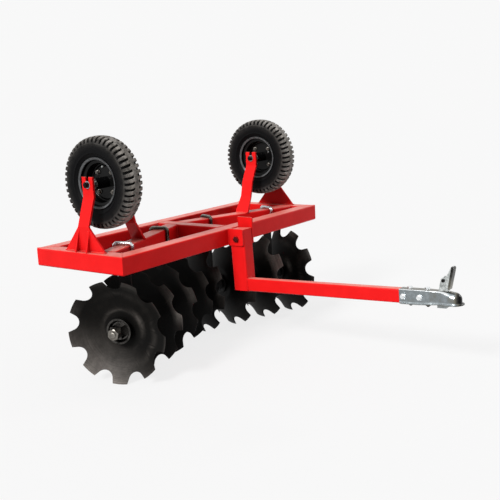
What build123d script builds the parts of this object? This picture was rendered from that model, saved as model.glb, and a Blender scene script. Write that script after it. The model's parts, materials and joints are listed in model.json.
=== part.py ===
from build123d import *
import math
import os

# Small towed disc harrow: one welded frame, two disc gangs in a V, two transport
# wheels turned up above the frame, and a cranked drawbar with a ball coupler.
# Millimetres. +X is the way it is towed, +Y its left side, +Z up, the ground is Z = 0.
# The origin is on the ground in the middle of the whole length and width.

# Fits
seat_gap = 0.3
running_gap = 0.1
side_gap = 1.0

# Frame tube
tube = 70.0
tube_high = 80.0
tube_wall = 4.0
tube_corner = 7.0
frame_span = 1500.0
frame_depth = 520.0
disc_room = 50.0

# Disc gangs
disc_radius = 230.0
disc_thickness = 4.0
disc_curve = 430.0
disc_flat_radius = 88.0
disc_teeth = 9
notch_radius = 41.0
right_disc_turns = [0, 1, 3, 0]
left_disc_turns = [0, 0, 0, 0]
gang_rear_gap = 42.0
gang_front_gap = 40.5
disc_inset = 79.0
axle_middle_gap = 20.0
axle_square = 28.0
spool_radius = 27.0
spool_flange_radius = 46.0
spool_flange = 8.0
cup_foot_radius = 48.0
cup_radius = 57.0
cup_height = 31.0
cup_wall = 8.0
cup_floor = 14.0
end_block = 52.0
end_block_length = 27.0
end_washer = 12.0
end_washer_radius = 44.0
end_nut = 27.0
end_nut_across = 46.0
end_stud_radius = 13.0
end_stud = 6.0

# Gang hangers and bearings
bearing_width = 50.0
bearing_side_gap = 5.0
journal_radius = 27.0
housing_wall = 19.0
housing_foot = 14.0
housing_foot_length = 130.0
hanger_plate = 10.0
hanger_length = 78.0
hanger_web = 12.0
hanger_web_width = 56.0
hanger_gusset = 60.0
ubolt_rod = 16.0
ubolt_nut_across = 24.0
ubolt_nut = 14.0
ubolt_thread = 14.0

# Transport wheels and their fork arms
tyre_radius = 200.0
tyre_width = 100.0
tyre_wall = 8.0
bead_radius = 101.5
rim_flange_radius = 112.0
rim_half_width = 36.0
rim_sheet = 3.0
rim_well_radius = 86.0
rim_web_offset = 17.0
rim_bolts = 4
rim_bolt_circle = 60.0
rim_bolt_hole = 5.5
hub_radius = 24.0
hub_flange_radius = 76.0
hub_flange = 6.0
hub_length = 112.0
rod_sleeve_radius = 12.0
wheel_inset = 160.0
wheel_height = 277.0
wheel_rod_radius = 8.0
wheel_nut_across = 24.0
wheel_nut = 13.0
wheel_rod_end = 6.0
arm_sheet = 10.0
arm_width = 64.0
arm_offset = 86.0
arm_above_rod = 33.0
arm_bend_outer = 225.0
arm_bend_inner = 237.0
knee_height = 157.0
knee_in = 42.0
ankle_height = 81.0
ankle_in = 61.0
foot_height = 104.0
foot_width = 236.0
outer_foot_inset = 30.0
inner_foot_in = 105.0
inner_foot_width = 80.0
rib_sheet = 8.0
rib_spacing = 64.0
rib_height = 92.0

# Drawbar
post_depth = 80.0
post_width = 70.0
post_wall = 4.0
post_corner = 7.0
beam_width = 40.0
beam_height = 60.0
beam_wall = 3.0
beam_corner = 6.0
draw_drop = 297.0
draw_reach = 856.0
draw_tilt = 2.45
draw_top_gap = 4.0
leg_gap = 2.5
ear_sheet = 8.0
ear_reach = 83.0
ear_rise = 45.0
ear_corner = 10.0
pin_radius = 8.0
pin_forward = 46.0
pin_down = 48.0
pin_head = 10.0
pin_head_across = 24.0

# Ball coupler
stub_wall = 4.0
stub_length = 135.0
stub_hidden = 60.0
coupler_wall = 4.0
coupler_length = 270.0
coupler_lip = 6.0
coupler_lip_sheet = 4.0
coupler_lip_start = 60.0
ball_radius = 25.0
ball_gap = 0.5
ball_forward = 232.0
ball_down = 10.0
socket_wall = 4.0
clamp_length = 38.0
clamp_depth = 18.0
clamp_below = 8.0
clamp_stem = 6.0
lever_sheet = 3.0
lever_pin_radius = 5.0
lever_pin_x = 193.0
lever_pin_z = 75.0
lever_tip_x = 236.0
lever_tip_z = 131.0
lever_foot_x = 214.0
lever_foot_z = 38.0
bracket_sheet = 4.0
bracket_width = 24.0
bracket_start = 170.0
bracket_end = 210.0
coupler_bolt_radius = 6.0
coupler_bolt_across = 19.0
coupler_bolt_head = 7.5
coupler_bolt_nut = 10.0
top_bolts_x = [42.0, 118.0]
side_bolts_x = [18.0, 90.0]

os.makedirs("parts", exist_ok=True)

# Places that follow from the sizes
frame_bottom = 2 * disc_radius + disc_room
frame_top = frame_bottom + tube_high
tube_mid = frame_top - tube_high / 2
half_span = frame_span / 2
inner_span = half_span - tube
# The gang beams run from the rear gap in the middle to the front gap at the end members
gang_room = frame_depth - 2 * tube - gang_rear_gap - gang_front_gap
gang_angle = math.acos(tube / math.hypot(gang_room, inner_span)) - math.atan2(inner_span, gang_room)
sin_a = math.sin(gang_angle)
cos_a = math.cos(gang_angle)
gang_apex_x = tube + gang_rear_gap + tube / 2 / cos_a
flat_rise = math.sqrt(disc_curve ** 2 - disc_flat_radius ** 2)
disc_dish = flat_rise - math.sqrt(disc_curve ** 2 - disc_radius ** 2)
discs_per_gang = len(right_disc_turns)
outer_rim = (half_span - disc_inset) / cos_a
inner_hub = axle_middle_gap + end_stud + end_nut + end_washer + 2 * seat_gap
disc_spacing = (outer_rim - disc_dish - inner_hub) / (discs_per_gang - 1)
hubs = [inner_hub + disc_spacing * (discs_per_gang - 1 - n) for n in range(discs_per_gang)]
rims = [hub + disc_dish for hub in hubs]
behind_frame = disc_radius * cos_a - gang_apex_x - rims[-1] * sin_a
nose_from_rear = frame_depth + leg_gap + draw_reach + coupler_length
x_rear = (behind_frame - nose_from_rear) / 2
x_front = x_rear + frame_depth
x_apex = x_rear + gang_apex_x
axle_height = disc_radius


def tube_face(across, high, wall, corner):
    """Draws a hollow tube's section in the open sketch."""
    RectangleRounded(across, high, corner)
    RectangleRounded(across - 2 * wall, high - 2 * wall, corner / 2, mode=Mode.SUBTRACT)


def save(part, name):
    """Labels a piece and writes its STEP file."""
    part.label = name
    export_step(part, f"parts/{name}.step")


def save_pair(part, name):
    """Writes a right-hand piece and its mirror image on the left."""
    save(part, f"{name}_right")
    save(mirror(part, about=Plane.XZ), f"{name}_left")


# Frame: front and rear beams and end members, mitred at the corners
across_front = Plane((x_front - tube / 2, -half_span, tube_mid), x_dir=(1, 0, 0), z_dir=(0, 1, 0))
with BuildPart() as front_beam:
    with BuildSketch(across_front):
        tube_face(tube, tube_high, tube_wall, tube_corner)
    extrude(amount=frame_span)
    with BuildSketch(Plane.XY.offset(frame_bottom)):
        with BuildLine():
            Polyline(
                (x_front, -half_span),
                (x_front, half_span),
                (x_front - tube, inner_span),
                (x_front - tube, -inner_span),
                close=True,
            )
        make_face()
    extrude(amount=tube_high, mode=Mode.INTERSECT)
save(front_beam.part, "frame_front_beam")

across_rear = Plane((x_rear + tube / 2, -half_span, tube_mid), x_dir=(1, 0, 0), z_dir=(0, 1, 0))
with BuildPart() as rear_beam:
    with BuildSketch(across_rear):
        tube_face(tube, tube_high, tube_wall, tube_corner)
    extrude(amount=frame_span)
    with BuildSketch(Plane.XY.offset(frame_bottom)):
        with BuildLine():
            Polyline(
                (x_rear, -half_span),
                (x_rear, half_span),
                (x_rear + tube, inner_span),
                (x_rear + tube, -inner_span),
                close=True,
            )
        make_face()
    extrude(amount=tube_high, mode=Mode.INTERSECT)
save(rear_beam.part, "frame_rear_beam")

along_end = Plane((x_rear, -half_span + tube / 2, tube_mid), x_dir=(0, 1, 0), z_dir=(1, 0, 0))
with BuildPart() as end_member:
    with BuildSketch(along_end):
        tube_face(tube, tube_high, tube_wall, tube_corner)
    extrude(amount=frame_depth)
    with BuildSketch(Plane.XY.offset(frame_bottom)):
        with BuildLine():
            Polyline(
                (x_rear, -half_span),
                (x_front, -half_span),
                (x_front - tube, -inner_span),
                (x_rear + tube, -inner_span),
                close=True,
            )
        make_face()
    extrude(amount=tube_high, mode=Mode.INTERSECT)
save_pair(end_member.part, "frame_end_member")

along_middle = Plane((x_rear + tube, 0, tube_mid), x_dir=(0, 1, 0), z_dir=(1, 0, 0))
with BuildPart() as centre_member:
    with BuildSketch(along_middle):
        tube_face(tube, tube_high, tube_wall, tube_corner)
    extrude(amount=frame_depth - 2 * tube)
save(centre_member.part, "frame_centre_member")

# Gang beam: runs from the centre member out and forward to the end member
outward = (sin_a, -cos_a, 0)
forward = (cos_a, sin_a, 0)
beam_plane = Plane((x_apex, 0, tube_mid), x_dir=forward, z_dir=outward)
with BuildPart() as gang_beam:
    with BuildSketch(beam_plane):
        tube_face(tube, tube_high, tube_wall, tube_corner)
    extrude(amount=half_span / cos_a)
    with BuildSketch(Plane.XY.offset(frame_bottom)):
        with Locations((x_apex, -(tube / 2 + inner_span) / 2)):
            Rectangle(2 * frame_span, inner_span - tube / 2)
    extrude(amount=tube_high, mode=Mode.INTERSECT)
save_pair(gang_beam.part, "gang_beam")

# Discs: dished, notched, on a square axle. Local z runs outward, local y is up
gang = Plane((x_apex, 0, axle_height), x_dir=forward, z_dir=outward).location
axle_hole = axle_square + 2 * seat_gap
with BuildPart() as one_disc:
    with BuildSketch(Plane.XZ):
        with BuildLine():
            back_flat = (disc_flat_radius, 0)
            back_rim = (disc_radius, disc_dish)
            front_rim = (disc_radius, disc_dish + disc_thickness)
            front_flat = (disc_flat_radius, disc_thickness)
            Line((0, 0), back_flat)
            RadiusArc(back_flat, back_rim, -disc_curve)
            Line(back_rim, front_rim)
            RadiusArc(front_rim, front_flat, disc_curve)
            Line(front_flat, (0, disc_thickness))
            Line((0, disc_thickness), (0, 0))
        make_face()
    revolve(axis=Axis.Z)
    with BuildSketch(Plane.XY.offset(-disc_dish)):
        with PolarLocations(disc_radius, disc_teeth, start_angle=-90 + 180 / disc_teeth):
            Circle(notch_radius)
        Rectangle(axle_hole, axle_hole)
    extrude(amount=3 * disc_dish, mode=Mode.SUBTRACT)


def disc_row(turns):
    """Gives the discs of one gang, each turned by its quarter turns on the square axle."""
    return Compound([gang * Pos(0, 0, hub) * Rot(0, 0, 90 * turn) * one_disc.part for hub, turn in zip(hubs, turns)])


save(disc_row(right_disc_turns), "gang_discs_right")
save(mirror(disc_row(left_disc_turns), about=Plane.XZ), "gang_discs_left")

# Axle: square bar with a turned stud and a nut at each end
cup_start = hubs[0] + disc_thickness + seat_gap
block_start = cup_start + cup_height
axle_out = block_start + end_block_length + seat_gap
axle_in = hubs[-1] - end_washer - 2 * seat_gap
with BuildPart() as gang_axle:
    with BuildSketch(Plane.XY.offset(axle_in)):
        Rectangle(axle_square, axle_square)
    extrude(amount=axle_out - axle_in)
    for start, way in ((axle_out, 1), (axle_in, -1)):
        with BuildSketch(Plane.XY.offset(start)):
            RegularPolygon(end_nut_across / 2, 6, major_radius=False)
        extrude(amount=way * end_nut)
        with BuildSketch(Plane.XY.offset(start + way * end_nut)):
            Circle(end_stud_radius)
        extrude(amount=way * end_stud)
save_pair(gang * gang_axle.part, "gang_axle")

# End pieces: a cast cup with a square block on the hollow side, a plain washer on the back
with BuildPart() as end_cup:
    with BuildSketch(Plane.XZ):
        with BuildLine():
            Polyline(
                (0, cup_start),
                (cup_foot_radius, cup_start),
                (cup_radius, block_start - cup_wall),
                (cup_radius, block_start),
                (cup_radius - cup_wall, block_start),
                (cup_foot_radius - cup_wall, cup_start + cup_floor),
                (0, cup_start + cup_floor),
                close=True,
            )
        make_face()
    revolve(axis=Axis.Z)
    with BuildSketch(Plane.XY.offset(cup_start)):
        RectangleRounded(end_block, end_block, cup_wall / 2)
    extrude(amount=cup_height + end_block_length)
    with BuildSketch(Plane.XY.offset(cup_start)):
        Rectangle(axle_hole, axle_hole)
    extrude(amount=cup_height + end_block_length, mode=Mode.SUBTRACT)
washer_start = hubs[-1] - seat_gap
with BuildPart() as back_washer:
    with BuildSketch(Plane.XY.offset(washer_start)):
        Circle(end_washer_radius)
        Rectangle(axle_hole, axle_hole, mode=Mode.SUBTRACT)
    extrude(amount=-end_washer)
save_pair(gang * Compound([end_cup.part, back_washer.part]), "gang_end_washers")

# Spools: cast spacers between the discs, turned down to a journal at each bearing
bearing_from_disc = (disc_spacing - disc_dish) / 2
bearings = [hubs[0] - bearing_from_disc, hubs[2] - bearing_from_disc]
journal_length = bearing_width + 2 * bearing_side_gap
spools = []
for n in range(discs_per_gang - 1):
    low = hubs[n + 1] + disc_thickness + seat_gap
    high = hubs[n] - seat_gap
    with BuildPart() as spool:
        with BuildSketch(Plane.XY.offset(low)):
            Circle(spool_radius)
        extrude(amount=high - low)
        with BuildSketch(Plane.XY.offset(low)):
            Circle(spool_flange_radius)
        extrude(amount=spool_flange)
        with BuildSketch(Plane.XY.offset(high)):
            Circle(spool_flange_radius)
        extrude(amount=-spool_flange)
        for at in bearings:
            if low < at < high:
                with BuildSketch(Plane.XY.offset(at - journal_length / 2)):
                    Circle(2 * spool_flange_radius)
                    Circle(journal_radius, mode=Mode.SUBTRACT)
                extrude(amount=journal_length, mode=Mode.SUBTRACT)
        with BuildSketch(Plane.XY.offset(low)):
            Rectangle(axle_hole, axle_hole)
        extrude(amount=high - low, mode=Mode.SUBTRACT)
    spools.append(gang * spool.part)
save_pair(Compound(spools), "gang_spools")

# Bearing housings: round cast barrel with a bolted foot on top
housing_radius = journal_radius + running_gap + housing_wall
foot_top = housing_radius + housing_foot / 2
with BuildPart() as housing:
    with BuildSketch(Plane.XY):
        Circle(housing_radius)
        with Locations((0, foot_top - housing_foot / 2)):
            Rectangle(housing_foot_length, housing_foot)
        with Locations((0, housing_radius / 2)):
            Rectangle(2 * housing_radius, housing_radius)
        Circle(journal_radius + running_gap, mode=Mode.SUBTRACT)
    extrude(amount=bearing_width / 2, both=True)
housings = Compound([gang * Pos(0, 0, at) * housing.part for at in bearings])
save_pair(housings, "gang_bearing_housings")

# Hangers: plate under the beam, upright web with gussets, foot on the housing
leg_out = tube / 2 + seat_gap + ubolt_rod / 2
hanger_top = frame_bottom - axle_height
web_top = hanger_top - hanger_plate
plate_across = 2 * (leg_out + ubolt_nut_across / 2 + 6)
with BuildPart() as hanger:
    with BuildSketch(Plane.XZ.offset(-hanger_top)):
        RectangleRounded(plate_across, hanger_length, 8)
        with Locations((leg_out, 0), (-leg_out, 0)):
            Circle(ubolt_rod / 2 + seat_gap, mode=Mode.SUBTRACT)
    extrude(amount=hanger_plate)
    with BuildSketch(Plane.XZ.offset(-foot_top)):
        RectangleRounded(housing_foot_length, bearing_width, 6)
    extrude(amount=-hanger_plate)
    with BuildSketch(Plane.XY):
        with BuildLine():
            Polyline(
                (-hanger_web_width / 2, foot_top),
                (hanger_web_width / 2, foot_top),
                (hanger_web_width / 2, web_top),
                (-hanger_web_width / 2, web_top),
                close=True,
            )
        make_face()
    extrude(amount=hanger_web / 2, both=True)
    with BuildSketch(Plane.YZ):
        with BuildLine():
            Polyline(
                (web_top, -hanger_length / 2),
                (web_top, hanger_length / 2),
                (web_top - hanger_gusset, 0),
                close=True,
            )
        make_face()
    extrude(amount=hanger_web / 2, both=True)
hangers = Compound([gang * Pos(0, 0, at) * hanger.part for at in bearings])
save_pair(hangers, "gang_hangers")

# U-bolts: over the beam, through the hanger plate, one nut on each leg
rod_top = frame_top - axle_height + seat_gap + ubolt_rod / 2
nut_top = web_top - seat_gap
leg_end = nut_top - ubolt_nut - ubolt_thread
ubolt_bend = tube_corner + seat_gap + ubolt_rod / 2
with BuildPart() as ubolt:
    with BuildLine(Plane.XY):
        FilletPolyline(
            (-leg_out, leg_end),
            (-leg_out, rod_top),
            (leg_out, rod_top),
            (leg_out, leg_end),
            radius=ubolt_bend,
        )
    with BuildSketch(Plane((-leg_out, leg_end, 0), z_dir=(0, 1, 0))):
        Circle(ubolt_rod / 2)
    sweep()
    with BuildSketch(Plane.XZ.offset(-nut_top)):
        with Locations((leg_out, 0), (-leg_out, 0)):
            RegularPolygon(ubolt_nut_across / 2, 6, major_radius=False)
    extrude(amount=ubolt_nut)
ubolts = Compound([gang * Pos(0, 0, at) * ubolt.part for at in bearings])
save_pair(ubolts, "gang_u_bolts")

# Fork arms: bent flat bar with an open slot for the wheel rod
rod_height = frame_top + wheel_height
wheel_y = half_span - wheel_inset
outer_foot_y = half_span - outer_foot_inset
inner_foot_y = wheel_y - arm_offset - inner_foot_in
wheel_at = x_apex + inner_foot_y * math.tan(gang_angle)
arm_top = rod_height + arm_above_rod
slot_radius = wheel_rod_radius + seat_gap


def bent_bar(centre, thickness):
    """Gives the outline of a bar of one thickness along a bent centre line."""
    left = []
    right = []
    for i, (y, z) in enumerate(centre):
        near = [n for n in (i - 1, i) if 0 <= n < len(centre) - 1]
        leans = [math.atan2(centre[n + 1][0] - centre[n][0], centre[n][1] - centre[n + 1][1]) for n in near]
        if len(leans) == 1:
            shift = (thickness / 2 / math.cos(leans[0]), 0)
        else:
            mean = sum(leans) / 2
            half = thickness / 2 / math.cos((leans[0] - leans[1]) / 2)
            shift = (half * math.cos(mean), half * math.sin(mean))
        left.append((y - shift[0], z - shift[1]))
        right.append((y + shift[0], z + shift[1]))
    return left + right[::-1]


outer_line = [
    (-wheel_y - arm_offset, arm_top),
    (-wheel_y - arm_offset, frame_top + arm_bend_outer),
    (-outer_foot_y, frame_top + foot_height),
    (-outer_foot_y, frame_top),
]
inner_line = [
    (-wheel_y + arm_offset, arm_top),
    (-wheel_y + arm_offset, frame_top + arm_bend_inner),
    (-wheel_y + arm_offset + knee_in, frame_top + knee_height),
    (-wheel_y + arm_offset + ankle_in, frame_top + ankle_height),
    (-inner_foot_y, frame_top),
]

with BuildPart() as outer_arm:
    with BuildSketch(Plane.YZ.offset(wheel_at)):
        with BuildLine():
            Polyline(*bent_bar(outer_line, arm_sheet), close=True)
        make_face()
    extrude(amount=foot_width / 2, both=True)
    with BuildSketch(Plane.XZ):
        with BuildLine():
            Polyline(
                (wheel_at - foot_width / 2, frame_top),
                (wheel_at + foot_width / 2, frame_top),
                (wheel_at + arm_width / 2, frame_top + foot_height),
                (wheel_at + arm_width / 2, arm_top),
                (wheel_at - arm_width / 2, arm_top),
                (wheel_at - arm_width / 2, frame_top + foot_height),
                close=True,
            )
        make_face()
        with Locations((wheel_at, rod_height)):
            Circle(slot_radius, mode=Mode.SUBTRACT)
        with Locations((wheel_at, rod_height + arm_above_rod / 2)):
            Rectangle(2 * slot_radius, arm_above_rod, mode=Mode.SUBTRACT)
    extrude(amount=frame_span, both=True, mode=Mode.INTERSECT)
    rib_foot = -outer_foot_y - arm_sheet / 2
    for way in (-1, 1):
        with BuildSketch(Plane.YZ.offset(wheel_at + way * rib_spacing / 2)):
            with BuildLine():
                Polyline(
                    (rib_foot, frame_top),
                    (-half_span, frame_top),
                    (rib_foot, frame_top + rib_height),
                    close=True,
                )
            make_face()
        extrude(amount=rib_sheet / 2, both=True)
save_pair(outer_arm.part, "wheel_arm_outer")

with BuildPart() as inner_arm:
    with BuildSketch(Plane.YZ.offset(wheel_at)):
        with BuildLine():
            Polyline(*bent_bar(inner_line, arm_sheet), close=True)
        make_face()
    extrude(amount=inner_foot_width / 2, both=True)
    with BuildSketch(Plane.XZ):
        with BuildLine():
            Polyline(
                (wheel_at - inner_foot_width / 2, frame_top),
                (wheel_at + inner_foot_width / 2, frame_top),
                (wheel_at + arm_width / 2, frame_top + ankle_height),
                (wheel_at + arm_width / 2, arm_top),
                (wheel_at - arm_width / 2, arm_top),
                (wheel_at - arm_width / 2, frame_top + ankle_height),
                close=True,
            )
        make_face()
    extrude(amount=frame_span, both=True, mode=Mode.INTERSECT)
    with BuildSketch(Plane.XZ):
        with Locations((wheel_at, rod_height)):
            Circle(slot_radius)
        with Locations((wheel_at, rod_height + arm_above_rod / 2)):
            Rectangle(2 * slot_radius, arm_above_rod)
    extrude(amount=frame_span, both=True, mode=Mode.SUBTRACT)
save_pair(inner_arm.part, "wheel_arm_inner")

# Wheels, both mounted the same way round. Local z runs to the right along the rod, y is up
wheel = Plane((wheel_at, 0, rod_height), x_dir=(1, 0, 0), z_dir=(0, -1, 0)).location


def save_wheels(part, name):
    """Writes one wheel piece at its right-hand and its left-hand place."""
    save(Pos(0, -wheel_y, 0) * wheel * part, f"{name}_right")
    save(Pos(0, wheel_y, 0) * wheel * part, f"{name}_left")


arm_face = arm_offset - arm_sheet / 2
arm_back = arm_offset + arm_sheet / 2
rod_half = arm_back + seat_gap + wheel_nut + wheel_rod_end
with BuildPart() as wheel_rod:
    with BuildSketch(Plane.XY):
        Circle(wheel_rod_radius)
    extrude(amount=rod_half, both=True)
    for way in (-1, 1):
        with BuildSketch(Plane.XY.offset(way * (arm_back + seat_gap))):
            RegularPolygon(wheel_nut_across / 2, 6, major_radius=False)
        extrude(amount=way * wheel_nut)
        with BuildSketch(Plane.XY.offset(way * (hub_length / 2 + side_gap))):
            Circle(rod_sleeve_radius)
        extrude(amount=way * (arm_face - seat_gap - hub_length / 2 - side_gap))
save_wheels(wheel_rod.part, "wheel_rod")

with BuildPart() as hub:
    with BuildSketch(Plane.XY):
        Circle(hub_radius)
    extrude(amount=hub_length / 2, both=True)
    with BuildSketch(Plane.XY.offset(-rim_web_offset - rim_sheet - seat_gap)):
        Circle(hub_flange_radius)
    extrude(amount=-hub_flange)
    with BuildSketch(Plane.XY):
        Circle(wheel_rod_radius + running_gap)
    extrude(amount=hub_length / 2, both=True, mode=Mode.SUBTRACT)
    with BuildSketch(Plane.XY):
        with PolarLocations(rim_bolt_circle, rim_bolts, start_angle=45):
            Circle(rim_bolt_hole)
    extrude(amount=hub_length / 2, both=True, mode=Mode.SUBTRACT)
save_wheels(hub.part, "wheel_hub")

with BuildPart() as rim:
    seat = bead_radius - seat_gap
    well_half = rim_half_width / 2
    with BuildSketch(Plane.XZ):
        with BuildLine():
            Polyline(
                (rim_flange_radius, rim_half_width + rim_sheet),
                (rim_flange_radius, rim_half_width),
                (seat, rim_half_width),
                (seat, well_half + rim_sheet),
                (rim_well_radius, well_half),
                (rim_well_radius, -well_half),
                (seat, -well_half - rim_sheet),
                (seat, -rim_half_width),
                (rim_flange_radius, -rim_half_width),
                (rim_flange_radius, -rim_half_width - rim_sheet),
                (seat - rim_sheet, -rim_half_width - rim_sheet),
                (seat - rim_sheet, -well_half - 2 * rim_sheet),
                (rim_well_radius - rim_sheet, -well_half - rim_sheet),
                (rim_well_radius - rim_sheet, -rim_web_offset - rim_sheet),
                (hub_radius + seat_gap, -rim_web_offset - rim_sheet),
                (hub_radius + seat_gap, -rim_web_offset),
                (rim_well_radius - rim_sheet, -rim_web_offset),
                (rim_well_radius - rim_sheet, well_half + rim_sheet),
                (seat - rim_sheet, well_half + 2 * rim_sheet),
                (seat - rim_sheet, rim_half_width + rim_sheet),
                close=True,
            )
        make_face()
    revolve(axis=Axis.Z)
    with BuildSketch(Plane.XY):
        with PolarLocations(rim_bolt_circle, rim_bolts, start_angle=45):
            Circle(rim_bolt_hole)
    extrude(amount=rim_half_width, both=True, mode=Mode.SUBTRACT)
save_wheels(rim.part, "wheel_rim")

with BuildPart() as tyre:
    half = tyre_width / 2
    bead = rim_half_width - seat_gap
    flange_edge = rim_flange_radius + side_gap
    side_middle = (flange_edge + tyre_radius) / 2
    with BuildSketch(Plane.XZ):
        with BuildLine():
            Line((bead_radius, bead), (flange_edge, bead))
            Spline(
                (flange_edge, bead),
                (flange_edge + 14, half - 4),
                (side_middle, half),
                (tyre_radius - 16, half - 4),
                (tyre_radius - 3, half - 22),
                (tyre_radius, 0),
                (tyre_radius - 3, 22 - half),
                (tyre_radius - 16, 4 - half),
                (side_middle, -half),
                (flange_edge + 14, 4 - half),
                (flange_edge, -bead),
            )
            Line((flange_edge, -bead), (bead_radius, -bead))
            Line((bead_radius, -bead), (bead_radius, tyre_wall - bead))
            Spline(
                (bead_radius, tyre_wall - bead),
                (flange_edge + 12, tyre_wall + 4 - half),
                (side_middle, tyre_wall - half),
                (tyre_radius - 22, 12 - half),
                (tyre_radius - tyre_wall - 3, 28 - half),
                (tyre_radius - tyre_wall, 0),
                (tyre_radius - tyre_wall - 3, half - 28),
                (tyre_radius - 22, half - 12),
                (side_middle, half - tyre_wall),
                (flange_edge + 12, half - 4 - tyre_wall),
                (bead_radius, bead - tyre_wall),
            )
            Line((bead_radius, bead - tyre_wall), (bead_radius, bead))
        make_face()
    revolve(axis=Axis.Z)
save_wheels(tyre.part, "wheel_tyre")

# Drawbar bracket: two ears welded to the front beam, the left one taller
ear_inner = post_width / 2 + seat_gap
pin_x = x_front + pin_forward
pin_z = frame_top - pin_down
hole_radius = pin_radius + seat_gap
with BuildPart() as right_ear:
    with BuildSketch(Plane.XZ.offset(ear_inner)):
        with BuildLine():
            FilletPolyline(
                (x_front, frame_bottom),
                (x_front + ear_reach, frame_bottom),
                (x_front + ear_reach, frame_top),
                (x_front, frame_top),
                radius=ear_corner,
            )
            Line((x_front, frame_top), (x_front, frame_bottom))
        make_face()
        with Locations((pin_x, pin_z)):
            Circle(hole_radius, mode=Mode.SUBTRACT)
    extrude(amount=ear_sheet)
with BuildPart() as left_ear:
    with BuildSketch(Plane.XZ.offset(-ear_inner)):
        with BuildLine():
            FilletPolyline(
                (x_front, frame_bottom),
                (x_front + ear_reach, frame_bottom),
                (x_front + ear_reach, frame_top + ear_rise),
                (x_front, frame_top + ear_rise),
                radius=ear_corner,
            )
            Line((x_front, frame_top + ear_rise), (x_front, frame_bottom))
        make_face()
        with Locations((pin_x, pin_z)):
            Circle(hole_radius, mode=Mode.SUBTRACT)
    extrude(amount=-ear_sheet)
save(Compound([right_ear.part, left_ear.part]), "drawbar_ears")

with BuildPart() as draw_pin:
    reach = ear_inner + ear_sheet + seat_gap
    with BuildSketch(Plane.XZ):
        with Locations((pin_x, pin_z)):
            Circle(pin_radius)
    extrude(amount=reach, both=True)
    for way in (-1, 1):
        with BuildSketch(Plane.XZ.offset(way * reach)):
            with Locations((pin_x, pin_z)):
                RegularPolygon(pin_head_across / 2, 6, major_radius=False)
        extrude(amount=way * pin_head)
save(draw_pin.part, "drawbar_pin")

# Drawbar: upright, and a narrower beam on its front face, tilted nose up about the pin
tilt = Pos(pin_x, 0, pin_z) * Rot(0, -draw_tilt, 0) * Pos(-pin_x, 0, -pin_z)
leg_x = x_front + leg_gap
low_z = frame_top - draw_drop
mid_z = low_z + beam_height / 2
beam_y = (beam_width - post_width) / 2
beam_end = leg_x + draw_reach
post_inside = (post_depth - 2 * post_wall, post_width - 2 * post_wall)
with BuildPart() as upright:
    with BuildSketch(Plane.XY.offset(low_z)):
        with Locations((leg_x + post_depth / 2, 0)):
            tube_face(post_depth, post_width, post_wall, post_corner)
    extrude(amount=draw_drop - draw_top_gap)
    for level, way in ((low_z, 1), (frame_top - draw_top_gap, -1)):
        with BuildSketch(Plane.XY.offset(level)):
            with Locations((leg_x + post_depth / 2, 0)):
                Rectangle(*post_inside)
        extrude(amount=way * post_wall)
    with BuildSketch(Plane.XZ):
        with Locations((pin_x, pin_z)):
            Circle(hole_radius)
    extrude(amount=post_width, both=True, mode=Mode.SUBTRACT)
save(tilt * upright.part, "drawbar_upright")

with BuildPart() as draw_beam:
    with BuildSketch(Plane.YZ.offset(leg_x + post_depth)):
        with Locations((beam_y, mid_z)):
            tube_face(beam_width, beam_height, beam_wall, beam_corner)
    extrude(amount=draw_reach - post_depth)
save(tilt * draw_beam.part, "drawbar_beam")

# Coupler pieces are drawn about the drawbar's end: local x forward, z up
on_bar = tilt * Pos(beam_end, beam_y, mid_z)
bolt_hole = coupler_bolt_radius + seat_gap
stub_width = beam_width - 2 * beam_wall - 2 * seat_gap
stub_height = beam_height - 2 * beam_wall - 2 * seat_gap
bay_half = stub_width / 2 + seat_gap
bay_top = stub_height / 2 + seat_gap
coupler_width = 2 * (bay_half + coupler_wall)
half_high = bay_top + coupler_wall
with BuildPart() as stub:
    with BuildSketch(Plane.YZ.offset(-stub_hidden)):
        tube_face(stub_width, stub_height, stub_wall, beam_corner - beam_wall)
    extrude(amount=stub_hidden + stub_length)
    with BuildSketch(Plane.XY):
        with Locations(*[(x, 0) for x in top_bolts_x]):
            Circle(bolt_hole)
    extrude(amount=stub_height, both=True, mode=Mode.SUBTRACT)
    with BuildSketch(Plane.XZ):
        with Locations(*[(x, 0) for x in side_bolts_x]):
            Circle(bolt_hole)
    extrude(amount=stub_height, both=True, mode=Mode.SUBTRACT)
save(on_bar * stub.part, "coupler_stub")

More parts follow.
